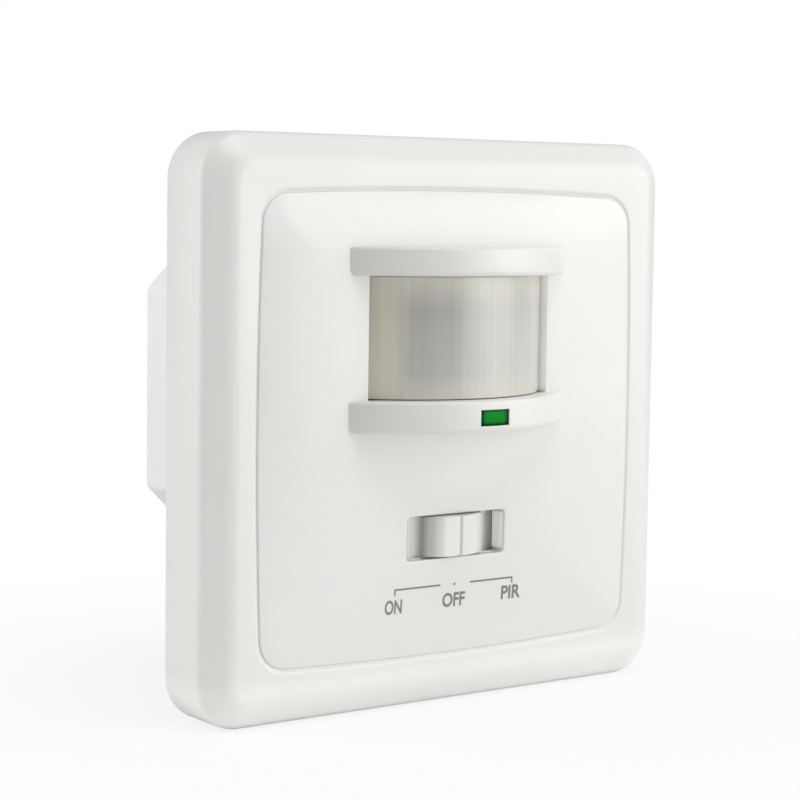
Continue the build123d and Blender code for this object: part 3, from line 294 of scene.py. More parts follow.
finishes = {
    "frame_white": dict(colour=(0.80, 0.795, 0.775), roughness=0.36, coat=0.05),
    "panel_white": dict(colour=(0.80, 0.80, 0.775), roughness=0.36, coat=0.05, subsurface=0.12),
    "knob_white": dict(colour=(0.785, 0.78, 0.735), roughness=0.33, coat=0.08),
    "lens_milky": dict(colour=(0.53, 0.51, 0.46), roughness=0.3, subsurface=0.25, coat=0.25, shade=0.06),
    "window_green": dict(colour=(0.0, 0.22, 0.015), roughness=0.3, shade=0.3),
    "housing_white": dict(colour=(0.87, 0.865, 0.85), roughness=0.5, depth=0.04),
    "inner_white": dict(colour=(0.75, 0.75, 0.73), roughness=0.5, depth=0.04),
    "plate_steel": dict(colour=(0.62, 0.63, 0.65), roughness=0.34, metallic=1.0, shade=0.08, brushed=True),
    "screw_steel": dict(colour=(0.58, 0.59, 0.60), roughness=0.3, metallic=1.0, shade=0.1),
    "board_green": dict(colour=(0.02, 0.16, 0.07), roughness=0.35, shade=0.2, coat=0.3),
    "can_steel": dict(colour=(0.66, 0.66, 0.65), roughness=0.25, metallic=1.0, shade=0.06),
    "filter_dark": dict(colour=(0.02, 0.02, 0.03), roughness=0.15, coat=0.5),
    "tinned_metal": dict(colour=(0.68, 0.68, 0.66), roughness=0.22, metallic=1.0),
    "black_plastic": dict(colour=(0.02, 0.02, 0.02), roughness=0.5, shade=0.15),
    "sensor_clear": dict(colour=(0.55, 0.38, 0.22), roughness=0.15, coat=0.6),
    "lamp_green": dict(colour=(0.20, 0.50, 0.24), roughness=0.12, coat=0.5),
    "trimmer_blue": dict(colour=(0.02, 0.09, 0.30), roughness=0.35),
    "rotor_white": dict(colour=(0.72, 0.70, 0.63), roughness=0.45),
    "relay_blue": dict(colour=(0.02, 0.11, 0.36), roughness=0.3, coat=0.2),
    "film_grey": dict(colour=(0.34, 0.34, 0.32), roughness=0.35),
    "can_sleeve": dict(colour=(0.02, 0.03, 0.08), roughness=0.28, coat=0.3),
    "disc_blue": dict(colour=(0.03, 0.14, 0.36), roughness=0.35, shade=0.1),
    "resistor_beige": dict(colour=(0.46, 0.34, 0.18), roughness=0.45, shade=0.1),
    "terminal_grey": dict(colour=(0.20, 0.22, 0.22), roughness=0.45, shade=0.06),
    "brass": dict(colour=(0.65, 0.48, 0.22), roughness=0.28, metallic=1.0, shade=0.08),
}
materials = {name: make_material(name, **finish) for name, finish in finishes.items()}

# Materials of single pieces, beside those of the record's slots
# wall_glow glows: painted light for the pale strips beside the window and the slot
wall_glow = make_material("wall_glow", (0.80, 0.80, 0.79), 0.4)
shader_of(wall_glow).inputs["Emission Color"].default_value = (0.9, 0.9, 0.86, 1)
shader_of(wall_glow).inputs["Emission Strength"].default_value = 0.22
# A copy of the panel's white for the lips, which gets painted shade towards their left ends
lip_painted_shade_white = make_material("lip_painted_shade_white", **finishes["panel_white"])
# The skirt's white, which gets painted shade and a painted glow across it
skirt_painted_shade = make_material("skirt_painted_shade", (0.80, 0.80, 0.78), 0.4)
mark_ink = make_material("mark_ink", (0.235, 0.23, 0.19), 0.55, shade=0.15)


def fill_ramp(ramp, stops):
    """Gives a colour ramp its stops, each a place from 0 to 1 and a colour."""
    elements = ramp.color_ramp.elements
    while len(elements) < len(stops):
        elements.new(0.5)
    for element, (spot, colour) in zip(elements, stops):
        element.position = spot
        element.color = (*colour, 1)


def ramp_along(material, axis, stops, blend="EASE"):
    """Colours that change along one axis, with their places in millimetres."""
    link = material.node_tree.links.new
    split = add_node(material, "SeparateXYZ")
    link(add_node(material, "TexCoord").outputs["Object"], split.inputs["Vector"])
    first, last = stops[0][0], stops[-1][0]
    reach = add_node(material, "MapRange", From_Min=first / METRE, From_Max=last / METRE)
    link(split.outputs[axis], reach.inputs["Value"])
    ramp = add_node(material, "ValToRGB")
    ramp.color_ramp.interpolation = blend
    fill_ramp(ramp, [((spot - first) / (last - first), colour) for spot, colour in stops])
    link(reach.outputs["Result"], ramp.inputs["Fac"])
    return ramp.outputs["Color"]


def grey(stops):
    """Stops with one tone each, as colours."""
    return [(spot, (tone, tone, tone)) for spot, tone in stops]


def painted_shading_along(material, axis, stops):
    """Multiplies a material's colour by painted light and shade that change along one axis."""
    link = material.node_tree.links.new
    shader = shader_of(material)
    mix = add_node(material, "MixRGB", Fac=1.0)
    mix.blend_type = "MULTIPLY"
    link(shader.inputs["Base Color"].links[0].from_socket, mix.inputs["Color1"])
    link(ramp_along(material, axis, grey(stops)), mix.inputs["Color2"])
    link(mix.outputs["Color"], shader.inputs["Base Color"])


def glow_along(material, axis, stops):
    """Adds a painted glow that changes along one axis, in place of the light that thin pale plastic lets
    through.
    """
    shader = shader_of(material)
    material.node_tree.links.new(ramp_along(material, axis, grey(stops)), shader.inputs["Emission Color"])
    shader.inputs["Emission Strength"].default_value = 1.0


# Tones across the lens, with the dim shape of the sensor behind it, and how far they fade up the lens
LENS_EDGE = 15.8
LENS_TONE_SHARES = ((0.0, (0.66, 0.63, 0.53)), (0.10, (0.65, 0.62, 0.53)), (0.17, (0.45, 0.45, 0.43)),
                    (0.33, (0.44, 0.445, 0.43)), (0.39, (0.51, 0.515, 0.50)), (0.50, (0.53, 0.53, 0.515)),
                    (0.55, (0.585, 0.58, 0.555)), (1.0, (0.62, 0.615, 0.59)))
LENS_FADE_SHARES = ((0.0, 0.9), (0.22, 0.15), (0.72, 0.0), (1.0, 1.0))
LENS_PALE = (0.70, 0.67, 0.59, 1)
FLUTE_SCALE, FLUTE_WAVER, FLUTE_SHADE, FLUTE_BUMP, FLUTE_BUMP_DEPTH = 240, 0.4, 0.03, 0.04, 0.1
STREAK_SCALE, STREAK_STRETCH, STREAK_SHADE = 420, 0.06, 0.1


def dress_lens(material):
    """Adds upright flutes and streaks and the dim shape of the sensor behind the lens."""
    link = material.node_tree.links.new
    shader = shader_of(material)
    place = add_node(material, "TexCoord")
    width, height = 2 * LENS_EDGE, WINDOW_TOP - WINDOW_LOW
    tones = [(share * width - LENS_EDGE, colour) for share, colour in LENS_TONE_SHARES]
    fades = grey([(WINDOW_LOW + share * height, fade) for share, fade in LENS_FADE_SHARES])
    mix = add_node(material, "MixRGB", Color2=LENS_PALE)
    link(ramp_along(material, "Z", fades, "LINEAR"), mix.inputs["Fac"])
    link(ramp_along(material, "X", tones, "LINEAR"), mix.inputs["Color1"])
    wave = add_node(material, "TexWave", Scale=FLUTE_SCALE, Distortion=FLUTE_WAVER)
    link(place.outputs["Object"], wave.inputs["Vector"])
    lines = add_node(material, "MixRGB", Fac=FLUTE_SHADE)
    lines.blend_type = "MULTIPLY"
    link(mix.outputs["Color"], lines.inputs["Color1"])
    link(wave.outputs["Color"], lines.inputs["Color2"])
    long = add_node(material, "Mapping", Scale=(1, 1, STREAK_STRETCH))
    link(place.outputs["Object"], long.inputs["Vector"])
    streaks = add_node(material, "TexNoise", Scale=STREAK_SCALE, Detail=2)
    link(long.outputs["Vector"], streaks.inputs["Vector"])
    streaked = add_node(material, "MixRGB", Fac=STREAK_SHADE)
    streaked.blend_type = "OVERLAY"
    link(lines.outputs["Color"], streaked.inputs["Color1"])
    link(streaks.outputs["Fac"], streaked.inputs["Color2"])
    link(streaked.outputs["Color"], shader.inputs["Base Color"])
    bump = add_node(material, "Bump", Strength=FLUTE_BUMP, Distance=FLUTE_BUMP_DEPTH / METRE)
    link(wave.outputs["Fac"], bump.inputs["Height"])
    link(bump.outputs["Normal"], shader.inputs["Normal"])


dress_lens(materials["lens_milky"])
# Painted light: the frame's white is made lighter towards its bottom edge
painted_shading_along(materials["frame_white"], "Z", [(-40.5, 1.14), (-36.0, 1.1), (-32.5, 1.0), (40.5, 1.0)])
# Painted light: the panel's white is made lighter near its top
painted_shading_along(materials["panel_white"], "Z", [(-33.0, 1.0), (24.0, 1.0), (29.0, 1.06), (33.0, 1.06)])
# Painted shade: the lips are made darker towards their left ends
painted_shading_along(lip_painted_shade_white, "X", [(-21.2, 0.9), (-12.0, 0.92), (-4.0, 0.98), (4.0, 1.0), (21.2, 1.0)])
# Painted shade and a painted highlight on the light window: dark at all four edges, where it lies in its
# recess, with a lighter band near its top
painted_shading_along(materials["window_green"], "X", [(-2.45, 0.08), (-1.6, 1.0), (1.3, 0.95), (2.45, 0.04)])
painted_shading_along(materials["window_green"], "Z", [(0.57, 0.12), (1.2, 1.0), (2.2, 1.1), (2.73, 0.45)])
shader_of(materials["window_green"]).inputs["Specular IOR Level"].default_value = 0.06
# Painted shade and a painted highlight on the knob: darker where its cap falls away to its ends and at its
# left end, lighter across its left half, slightly darker towards its right end
painted_shading_along(materials["knob_white"], "Y", [(-12.4, 1.0), (-11.5, 0.66), (-10.8, 0.75), (-9.7, 0.95)])
painted_shading_along(materials["knob_white"], "X", [(-5.5, 0.85), (-5.3, 0.62), (-4.4, 0.72), (-3.1, 0.97),
                                          (-2.2, 1.17), (-0.8, 1.10), (0.5, 1.0), (3.4, 1.0), (4.3, 0.91),
                                          (5.5, 0.88)])
# Painted light: the knob glows faintly near its base, where it sits in the slot
glow_along(materials["knob_white"], "Y", [(-12.0, 0.0), (-11.4, 0.0), (-10.6, 0.10), (-9.7, 0.22)])
# Painted shade on the skirt's floor: darker next to the knob's left end and towards the slot's right end
painted_shading_along(skirt_painted_shade, "X", [(-11.8, 0.75), (-8.9, 0.72), (-7.3, 0.62), (-6.5, 0.42), (-5.6, 0.4),
                               (5.4, 1.1), (6.8, 1.1), (7.3, 0.86), (7.7, 0.64), (8.1, 0.48), (8.8, 0.4)])
# Painted light: a glow on the skirt's floor, strongest just left of the knob
glow_along(skirt_painted_shade, "X", [(-11.8, 0.1), (-8.9, 0.16), (-7.3, 0.28), (-6.5, 0.47), (-5.6, 0.38),
                              (-5.0, 0.1), (5.4, 0.12), (6.8, 0.1), (7.6, 0.0), (8.9, 0.0)])

for subpart in frame["record"]["subparts"]:
    node = bpy.data.objects.get(subpart["node"])
    if node is not None:
        for place in node.material_slots:
            place.material = materials[subpart["material_slot"]]


# Cover frame: rings from the back edge, over the bevel, to the seam, the ledge and the hollow back

def frame_ring(inset):
    half = FRAME_HALF - inset
    return rounded(half, half, max(FRAME_RADIUS - inset, FRAME_LEAST_RADIUS))


def seam_ring(grow):
    half = PANEL_HALF + SEAM_GAP + grow
    return rounded(half, half, PANEL_RADIUS + SEAM_GAP + grow, PANEL_BOW)


def bevel_points():
    """Points (inset, level) over the bevel: an outer round, a flat band and an inner round."""
    inset, level = 0.0, BEVEL_START
    points = []
    parts = ((0, BEVEL_TILT, BEVEL_OUTER_RADIUS, 12), (BEVEL_TILT, BEVEL_TILT, 0, 5),
             (BEVEL_TILT, 90, BEVEL_INNER_RADIUS, 14))
    for first, last, radius, steps in parts:
        for step in range(steps):
            start = math.radians(first + (last - first) * step / steps)
            end = math.radians(first + (last - first) * (step + 1) / steps)
            straight = BEVEL_FLAT / steps if radius == 0 else 0
            inset += radius * (math.cos(start) - math.cos(end)) + straight * math.sin(end)
            level += radius * (math.sin(end) - math.sin(start)) + straight * math.cos(end)
            points.append((inset, min(level, FRAME_DEPTH)))
    return points + [(inset + BEVEL_END_STEP, FRAME_DEPTH)]


side_points = [(0.35, 0.0), (0.1, 0.1), (0, 0.4), (0, SIDE_MIDDLE), (0, BEVEL_START)]
rings = [(frame_ring(inset), level) for inset, level in side_points + bevel_points()]
rings += [(seam_ring(SEAM_ROUND_WIDTH - SEAM_ROUND_WIDTH * math.sin(turn)),
           FRAME_DEPTH - SEAM_ROUND_DEPTH * (1 - math.cos(turn))) for turn in quarter_turns(6)]
rings += [(seam_ring(grow), level) for grow, level in (
    (-SHELF_EDGE, SHELF_EDGE_LEVEL), (-SHELF_REACH, SHELF_FRONT), (-SHELF_REACH, SHELF_BACK), (0, SHELF_FOOT),
    (0, LEDGE_FRONT), (-LEDGE_WIDTH, LEDGE_FRONT), (-LEDGE_WIDTH, LEDGE_BACK), (COLLAR_WALL, LEDGE_BACK),
    (COLLAR_WALL, HOLLOW_FRONT))]
rings += [(frame_ring(inset), level) for inset, level in (
    (FRAME_WALL + HOLLOW_ROUND, HOLLOW_FRONT), (FRAME_WALL, HOLLOW_FRONT - HOLLOW_ROUND), (FRAME_WALL, 0.0))]
points = [(x, level, z) for ring, level in rings for x, z in ring]
faces = ring_faces(len(rings), len(rings[0][0]), closed=True)
shell = add_mesh("cover_frame", points, faces, materials["frame_white"], "switch", angle=40)
orient(shell)
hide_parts("outer_frame")

for side, letter in ((-1, "l"), (1, "r")):
    for number, along in enumerate((-RIB_STEP, 0, RIB_STEP)):
        add_box("frame_rib_%s_a%d" % (letter, number), (side * RIB_MIDDLE, RIB_LEVEL, along),
                (RIB_HALF_LENGTH, RIB_HALF_LEVEL, RIB_HALF_WIDTH), "frame_white", "switch")
        add_box("frame_rib_%s_b%d" % (letter, number), (along, RIB_LEVEL, side * RIB_MIDDLE),
                (RIB_HALF_WIDTH, RIB_HALF_LEVEL, RIB_HALF_LENGTH), "frame_white", "switch")


# Centre panel: a crowned face with its window and slot, joined to walls behind every edge

def slot_ring(grow):
    return rounded(SLOT_X + grow, SLOT_HALF + grow, SLOT_RADIUS + grow, middle=SLOT_Z, side=10, corner=6)


def window_ring(grow):
    return rounded(WINDOW_X + grow, WINDOW_HALF + grow, WINDOW_RADIUS + grow, middle=WINDOW_MIDDLE, side=14,
                   corner=4)


def panel_ring(inset):
    """The panel's outline, with rounder corners and straighter sides further in."""
    half = PANEL_HALF - inset
    radius = max(PANEL_RADIUS - inset * PANEL_RADIUS_SHRINK, PANEL_LEAST_RADIUS)
    return rounded(half, half, radius, PANEL_BOW * (1 - inset / PANEL_BOW_FADE))


def panel_net():
    """Points and triangles of the panel's face, finer along its edges and around its window and slot."""
    outlines = [panel_ring(inset) for inset in PANEL_INSETS]
    outlines += [slot_ring(grow) for grow in SLOT_GROWS]
    outlines.append(window_ring(0))
    flat, edges = [], []
    for outline in outlines:
        start, count = len(flat), len(outline)
        flat += outline
        edges += [(start + place, start + (place + 1) % count) for place in range(count)]
    for grow in TOP_GROWS:
        radius = TOP_RADIUS + grow * TOP_RADIUS_GROWTH
        outline = rounded(TOP_HALF_X + grow, TOP_HALF_Z + grow, radius, middle=WINDOW_MIDDLE)
        flat += [(x, z) for x, z in outline if z < PANEL_HALF - TOP_MARGIN]
    grid = [(column * GRID_STEP, row * GRID_STEP) for column in range(-GRID_COUNT, GRID_COUNT + 1)
            for row in range(-GRID_COUNT, GRID_COUNT + 1)]
    gap = GRID_SLOT_GAP
    flat += [(x, z) for x, z in grid if box_distance(x, z, GRID_HALF, GRID_HALF, GRID_RADIUS) < 0
             and box_distance(x, z - SLOT_Z, SLOT_X + gap, SLOT_HALF + gap, gap) > 0]
    vectors = [Vector(point) for point in flat]
    places, _, faces, _, _, _ = delaunay_2d_cdt(vectors, edges, [], 0, MERGE_DISTANCE)
    kept = []
    for face in faces:
        x = sum(places[v].x for v in face) / len(face)
        z = sum(places[v].y for v in face) / len(face)
        in_window = abs(x) < WINDOW_X and WINDOW_LOW < z < WINDOW_TOP
        in_slot = slot_distance(x, z) < -SLOT_TOLERANCE
        if not in_slot and not in_window and panel_distance(x, z) <= OUTLINE_TOLERANCE:
            kept.append(tuple(face))
    return [(place.x, place.y) for place in places], kept


def face_level(x, z):
    """The panel's face, let down around the slot's edge."""
    near = slot_distance(x, z)
    return crown(x, z) - (edge_fall(near, SLOT_EDGE) if near >= 0 else 0)


def wall_back(x, z):
    """The level at which the wall behind an edge of the panel's face ends."""
    if abs(slot_distance(x, z)) < NEAR_EDGE:
        return SLOT_BACK
    if abs(x) < WINDOW_X + NEAR_EDGE and WINDOW_LOW - NEAR_EDGE < z < WINDOW_TOP + NEAR_EDGE:
        return WINDOW_BACK
    return PANEL_BACK


places, kept = panel_net()
points = [(x, face_level(x, z), z) for x, z in places]
borders = [(vertex, face[(place + 1) % len(face)]) for face in kept for place, vertex in enumerate(face)]
known = set(borders)
lowered = {}
for first, second in [pair for pair in borders if (pair[1], pair[0]) not in known]:
    for vertex in (first, second):
        if vertex not in lowered:
            x, z = places[vertex]
            lowered[vertex] = len(points)
            points.append((x, wall_back(x, z), z))
    kept.append((second, first, lowered[first], lowered[second]))
cover = add_mesh("panel_cover", points, kept, materials["panel_white"], "switch", angle=42)
orient(cover)
wall = cover.modifiers.new("wall", "SOLIDIFY")
wall.thickness = PANEL_WALL / METRE
wall.offset = -1
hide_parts("front_panel")

for side, letter in ((-1, "l"), (1, "r")):
    for number, along in enumerate((-CLIP_Z, CLIP_Z)):
        add_box("panel_clip_%s%d" % (letter, number), (side * CLIP_X, CLIP_LEVEL, along),
                (CLIP_HALF_WIDTH, CLIP_HALF_LEVEL, CLIP_HALF_LENGTH), "panel_white", "switch")

# Pale strips at the right of the window and the slot that glow: painted light, in place of the light that the
# plastic lets through
for name, ring, back, drop in (
        ("window_glow_strip", window_ring(-GLOW_STRIP_GAP)[:15], WINDOW_GLOW_STRIP_BACK, WINDOW_GLOW_STRIP_DROP),
        ("slot_glow_strip", slot_ring(-GLOW_STRIP_GAP)[:11], SLOT_GLOW_STRIP_BACK, SLOT_GLOW_STRIP_DROP)):
    points = [(x, crown(x, z) - drop, z) for x, z in ring] + [(x, back, z) for x, z in ring]
    add_mesh(name, points, grid_faces(2, len(ring)), wall_glow, "switch")


# Lips: two rounded half discs that run into the panel, the lower one with the light window's opening

led_low, led_top = LED_Z - LED_HALF - LED_GAP, LED_Z + LED_HALF + LED_GAP
led_angle = math.degrees(math.asin((LED_X + LED_GAP) / LIP_RADIUS))


def lip_angles(window, steps=96, least=0.5):
    """Angles across a lip in degrees, with two that meet the light window's sides."""
    angles = [-LIP_REACH_DEGREES + 2 * LIP_REACH_DEGREES * step / steps for step in range(steps + 1)]
    if window:
        angles = [angle for angle in angles if abs(abs(angle) - led_angle) > least]
        angles = sorted(angles + [-led_angle, led_angle])
    return angles


def lip_section(low, top, window):
    """Points (radius, z) up a lip's front, between two at its back that have no radius."""
    section = [(None, low)]
    section += [(LIP_RADIUS - LIP_EDGE * (1 - math.sin(turn)), low + LIP_EDGE * (1 - math.cos(turn)))
                for turn in quarter_turns(8)]
    if window:
        section += [(LIP_RADIUS, led_low), (LIP_RADIUS, led_top)]
    section += [(LIP_RADIUS - LIP_TOP_EDGE * (1 - math.cos(turn)), top - LIP_TOP_EDGE * (1 - math.sin(turn)))
                for turn in quarter_turns(8)]
    return section + [(None, top)]


def lip(name, low, top, window):
    angles, section = lip_angles(window), lip_section(low, top, window)
    columns = len(section)
    points = []
    for angle in angles:
        turn = math.radians(angle)
        for radius, z in section:
            reach = LIP_RADIUS - LIP_EDGE if radius is None else radius
            level = LIP_BACK if radius is None else reach * math.cos(turn) - LIP_CENTRE
            points.append((reach * math.sin(turn), max(level, LIP_BACK), z))
    faces = grid_faces(len(angles), columns)
    if window:
        row_low = section.index((LIP_RADIUS, led_low))
        hole_rows = range(angles.index(-led_angle), angles.index(led_angle) + 1)
        hole = {row * columns + row_low for row in hole_rows[:-1]}
        faces = [face for face in faces if face[0] not in hole]
        loop = [row * columns + row_low for row in hole_rows]
        loop += [row * columns + row_low + 1 for row in reversed(hole_rows)]
        inner = [len(points) + place for place in range(len(loop))]
        rim = [points[vertex] for vertex in loop]
        points += [(x, level - LED_HOLE_DEPTH, z) for x, level, z in rim]
        around = [(place, (place + 1) % len(loop)) for place in range(len(loop))]
        faces += [(loop[here], loop[after], inner[after], inner[here]) for here, after in around]
        faces.append(tuple(inner))
    faces += bar_faces(len(angles), columns)
    piece = add_mesh(name, points, faces, lip_painted_shade_white, "switch", angle=50)
    orient(piece)


lip("lower_lip", LIP_LOW, WINDOW_LOW, True)
lip("upper_lip", WINDOW_TOP, LIP_TOP, False)


# Light window: a green tile that follows the lip's face, with a lowered rim

def light_window(rows=9, columns=15):
    points = []
    for row in range(rows):
        for column in range(columns):
            x = -LED_X + 2 * LED_X * column / (columns - 1)
            z = LED_Z - LED_HALF + 2 * LED_HALF * row / (rows - 1)
            level = math.sqrt((LIP_RADIUS - LED_GAP) ** 2 - x * x) - LIP_CENTRE
            at_rim = row in (0, rows - 1) or column in (0, columns - 1)
            points.append((x, level - (LED_RIM_DROP if at_rim else 0), z))
    edge = grid_edge(rows, columns)
    start = len(points)
    points += [(points[vertex][0], LED_BACK, points[vertex][2]) for vertex in edge]
    faces = grid_faces(rows, columns)
    for here in range(len(edge)):
        after = (here + 1) % len(edge)
        faces.append((edge[here], start + here, start + after, edge[after]))
    faces.append(tuple(range(start, start + len(edge))))
    material = materials["window_green"]
    green = add_mesh("light_window", points, faces, material, "switch", angle=30)
    orient(green)
    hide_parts("led_window")


light_window()


# Lens: a bent sheet with shallow upright flutes inside and a flange along each end

def milky_lens(steps=160):
    half_angle = math.asin(LENS_HALF / LENS_RADIUS)
    outer, inner = [], []
    for step in range(steps + 1):
        turn = -half_angle + 2 * half_angle * step / steps
        outer.append((LENS_RADIUS * math.sin(turn), LENS_RADIUS * math.cos(turn) - LENS_CENTRE))
        depth = LENS_WALL + FLUTE_DEPTH * abs(math.sin(turn / half_angle * math.pi * FLUTES_EACH_SIDE))
        inner.append(((LENS_RADIUS - depth) * math.sin(turn) * LENS_INNER_SHARE,
                      (LENS_RADIUS - depth) * math.cos(turn) - LENS_CENTRE))
    flange = [(LENS_HALF, FLANGE_FRONT), (FLANGE_HALF, FLANGE_FRONT), (FLANGE_HALF, FLANGE_BACK),
              (LENS_INNER_HALF, FLANGE_BACK)]
    profile = outer + flange + inner[::-1] + [(-x, level) for x, level in reversed(flange)]
    count, rows = len(profile), len(LENS_HEIGHTS)
    points = [(x, level, z) for z in LENS_HEIGHTS for x, level in profile]
    faces = ring_faces(rows, count) + end_faces(rows, count)
    lens = add_mesh("milky_lens", points, faces, materials["lens_milky"], "switch", angle=30)
    orient(lens)
    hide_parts("fresnel_lens")


milky_lens()


# Slider knob: a crowned cap with a groove across its middle, on its skirt

def slider_knob():
    # Places across the cap and how far each lies below the crown: the rounded end, the face and the groove
    stations = [(-5.5, 0.3), (-5.46, 0.15), (-5.36, 0.06), (-5.2, 0.0)]
    stations += [(-5.0 + 0.5 * step, 0.0) for step in range(10)]
    stations += [(-0.40, 0.0), (-0.32, 0.05), (-0.26, 0.28), (-0.18, 0.3)]
    stations += [(-x, drop) for x, drop in reversed(stations)]
    points = []
    for x, drop in stations:
        level = math.sqrt(KNOB_CURVE_RADIUS ** 2 - x * x) + KNOB_CURVE_CENTRE - drop
        low_side = [(-KNOB_HALF_Z, KNOB_BACK)]
        low_side += [(-KNOB_HALF_Z + KNOB_EDGE * (1 - math.cos(turn)),
                      level - KNOB_EDGE + KNOB_EDGE * math.sin(turn)) for turn in quarter_turns(5)]
        section = low_side + [(z, level) for z in (-KNOB_FLAT, 0.0, KNOB_FLAT)]
        section += [(-z, height) for z, height in reversed(low_side)]
        points += [(x, height, SLOT_Z + z) for z, height in section]
    faces = grid_faces(len(stations), len(section)) + bar_faces(len(stations), len(section))
    knob = add_mesh("knob_cap", points, faces, materials["knob_white"], "slider", angle=45)
    orient(knob)
    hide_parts("slide_knob")


slider_knob()
skirt = add_box("knob_skirt", (0, SKIRT_LEVEL, SLOT_Z), (SKIRT_HALF_X, SKIRT_HALF_LEVEL, SKIRT_HALF_Z),
                "knob_white", "slider")
skirt.data.materials[0] = skirt_painted_shade


# Printed marks: thin ink that follows the panel's face

def ink(name, flat_points, faces):
    points = [(x, crown(x, z) + INK_LIFT, z) for x, z in flat_points]
    add_mesh(name, points, faces, mark_ink, "switch", smooth=False)


def word(name, text, x, z, narrow):
    """A word in plain upright letters."""
    curve = bpy.data.curves.new(name + "_curve", "FONT")
    curve.body = text
    curve.align_x = "CENTER"
    curve.align_y = "CENTER"
    curve.size = WORD_HEIGHT / CAPITAL_SHARE
    curve.offset = LETTER_WEIGHT
    holder = bpy.data.objects.new(name + "_curve", curve)
    bpy.context.scene.collection.objects.link(holder)
    mesh = bpy.data.meshes.new_from_object(holder)
    flat_points = [(x + v.co.x * narrow, z + v.co.y) for v in mesh.vertices]
    faces = [tuple(face.vertices) for face in mesh.polygons]
    bpy.data.objects.remove(holder)
    bpy.data.meshes.remove(mesh)
    bpy.data.curves.remove(curve)
    ink(name, flat_points, faces)


def strip(name, start, end):
    """A thin straight line of ink between two points."""
    length = math.dist(start, end)
    along = ((end[0] - start[0]) / length, (end[1] - start[1]) / length)
    across = (-along[1] * LINE_WIDTH / 2, along[0] * LINE_WIDTH / 2)
    steps = max(2, int(length / LINE_STEP))
    flat_points = []
    for step in range(steps + 1):
        x = start[0] + along[0] * length * step / steps
        z = start[1] + along[1] * length * step / steps
        flat_points += [(x - across[0], z - across[1]), (x + across[0], z + across[1])]
    ink(name, flat_points, [(2 * s, 2 * s + 2, 2 * s + 3, 2 * s + 1) for s in range(steps)])


word("mark_on", "ON", -10.6, -25.5, 0.70)
word("mark_off", "OFF", 0.0, -25.35, 0.84)
word("mark_auto", "PIR", 10.4, -25.2, 0.95)
strip("mark_line_left", (-10.6, LINE_Z), (-2.5, LINE_Z))
strip("mark_drop_left", (-10.5, DROP_TOP), (-10.5, DROP_LOW))
strip("mark_line_right", (2.8, LINE_Z), (10.7, LINE_Z))
strip("mark_drop_right", (10.6, DROP_TOP), (10.6, DROP_LOW))
dot_turns = [step / DOT_POINTS * 2 * math.pi for step in range(DOT_POINTS)]
ink("mark_dot", [(DOT_RADIUS * math.cos(turn), DROP_TOP + DOT_RADIUS * math.sin(turn)) for turn in dot_turns],
    [tuple(range(DOT_POINTS))])


# Floor, in metres: a pale plane that fades to white for the camera away from the object

FLOOR_TONE, FADE_START, FADE_END, LEAST_FADE = 0.9, 0.03, 0.12, 0.8


def floor_material():
    material = bpy.data.materials.new("floor")
    material.use_nodes = True
    material.node_tree.nodes.clear()
    link = material.node_tree.links.new
    diffuse = add_node(material, "BsdfDiffuse", Color=(FLOOR_TONE, FLOOR_TONE, FLOOR_TONE, 1))
    white = add_node(material, "Emission", Color=(1, 1, 1, 1))
    length = add_node(material, "VectorMath")
    length.operation = "LENGTH"
    link(add_node(material, "TexCoord").outputs["Object"], length.inputs[0])
    fade = add_node(material, "MapRange", From_Min=FADE_START, From_Max=FADE_END, To_Min=LEAST_FADE)
    link(length.outputs["Value"], fade.inputs["Value"])
    both = add_node(material, "Math")
    both.operation = "MULTIPLY"
    link(fade.outputs["Result"], both.inputs[0])
    link(add_node(material, "LightPath").outputs["Is Camera Ray"], both.inputs[1])
    mix = add_node(material, "MixShader")
    link(both.outputs["Value"], mix.inputs["Fac"])
    link(diffuse.outputs["BSDF"], mix.inputs[1])
    link(white.outputs["Emission"], mix.inputs[2])
    link(mix.outputs["Shader"], add_node(material, "OutputMaterial").inputs["Surface"])
    return material


reach = FLOOR_HALF / METRE
floor_corners = [(-reach, -reach, 0), (reach, -reach, 0), (reach, reach, 0), (-reach, reach, 0)]
floor_mesh = bpy.data.meshes.new("floor")
floor_mesh.from_pydata(floor_corners, [], [(0, 1, 2, 3)])
floor = bpy.data.objects.new("floor", floor_mesh)
floor.location = (0, 0, -(FRAME_HALF + FLOOR_GAP) / METRE)
floor_mesh.materials.append(floor_material())
bpy.context.scene.collection.objects.link(floor)


# Light, in metres: a dim white surround that the camera sees as white, and four soft lamps

AMBIENT = 0.40

world = bpy.data.worlds.new("world")
bpy.context.scene.world = world
world.use_nodes = True
nodes, links = world.node_tree.nodes, world.node_tree.links
background = nodes["Background"]
background.inputs["Color"].default_value = (1, 1, 1, 1)
path = nodes.new("ShaderNodeLightPath")
strength = nodes.new("ShaderNodeMapRange")
strength.inputs["To Min"].default_value = AMBIENT
strength.inputs["To Max"].default_value = 1.0
links.new(path.outputs["Is Camera Ray"], strength.inputs["Value"])
links.new(strength.outputs["Result"], background.inputs["Strength"])


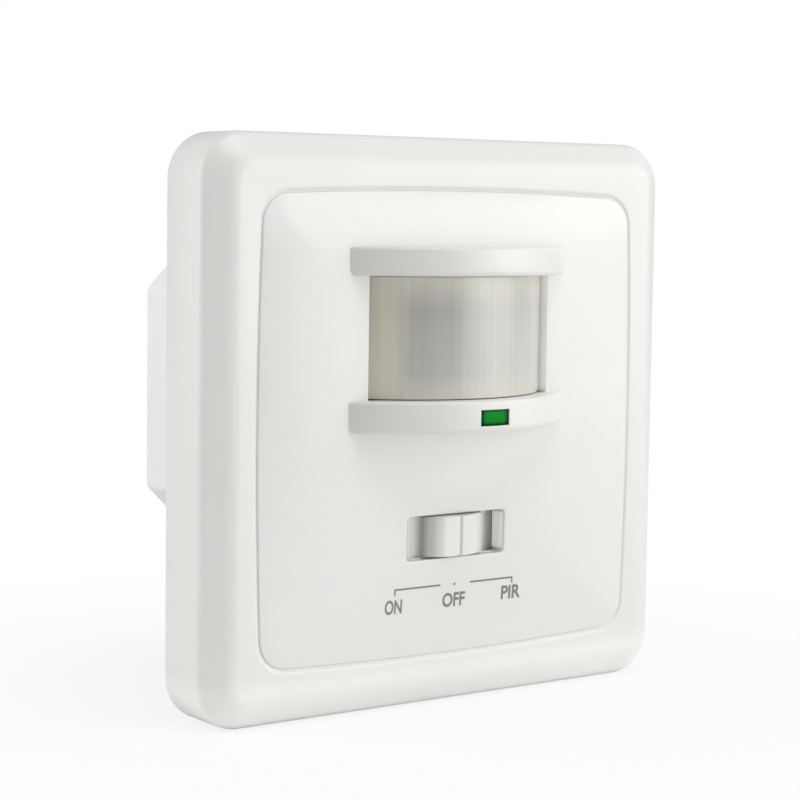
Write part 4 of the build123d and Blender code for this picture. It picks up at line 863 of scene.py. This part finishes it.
def area_light(name, direction, distance, size, power):
    """A soft square light that faces the object."""
    light = bpy.data.lights.new(name, "AREA")
    light.size = size
    light.energy = power
    lamp = bpy.data.objects.new(name, light)
    direction = Vector(direction).normalized()
    lamp.location = direction * distance
    lamp.rotation_euler = direction.to_track_quat("Z", "Y").to_euler()
    bpy.context.scene.collection.objects.link(lamp)
    lamp.visible_camera = False


area_light("side_light", (-0.90, 0.50, 0.18), 0.6, 0.5, 1.9)
area_light("front_light", (0.74, -0.62, 0.28), 0.7, 0.45, 1.85)
area_light("top_light", (0.02, -0.35, 1.0), 0.7, 0.4, 1.75)
area_light("low_light", (0.50, -0.85, -0.02), 0.8, 0.3, 0.95)


# Camera, fitted to the frame's corners and the seam in the photograph, in degrees and millimetres

CAMERA_TURN, CAMERA_TILT, CAMERA_ROLL = -36.21, -4.95, 0.77
CAMERA_AWAY, CAMERA_ACROSS, CAMERA_UP = 321.7, -0.81, 2.46
SENSOR_WIDTH, FOCAL_LENGTH, CLIP_START = 36, 98.64, 10

turn, tilt, roll = math.radians(CAMERA_TURN), math.radians(CAMERA_TILT), math.radians(CAMERA_ROLL)
right = Vector((math.cos(turn), math.sin(turn), 0))
ahead = Vector((-math.sin(turn), math.cos(turn), 0))
up = Vector((0, 0, 1))
look = math.cos(tilt) * ahead + math.sin(tilt) * up
level_top = -math.sin(tilt) * ahead + math.cos(tilt) * up
side = math.cos(roll) * right + math.sin(roll) * level_top
top = -math.sin(roll) * right + math.cos(roll) * level_top
spot = (-look * CAMERA_AWAY + side * CAMERA_ACROSS + top * CAMERA_UP) / METRE
camera_data = bpy.data.cameras.new("camera")
camera_data.sensor_width = SENSOR_WIDTH
camera_data.lens = FOCAL_LENGTH
camera_data.clip_start = CLIP_START / METRE
camera = bpy.data.objects.new("camera", camera_data)
bpy.context.scene.collection.objects.link(camera)
camera.matrix_world = Matrix.Translation(spot) @ Matrix((side, top, -look)).transposed().to_4x4()
bpy.context.scene.camera = camera

view = bpy.context.scene.view_settings
view.view_transform = "Standard"
view.look = "None"
view.exposure = 0
view.gamma = 1
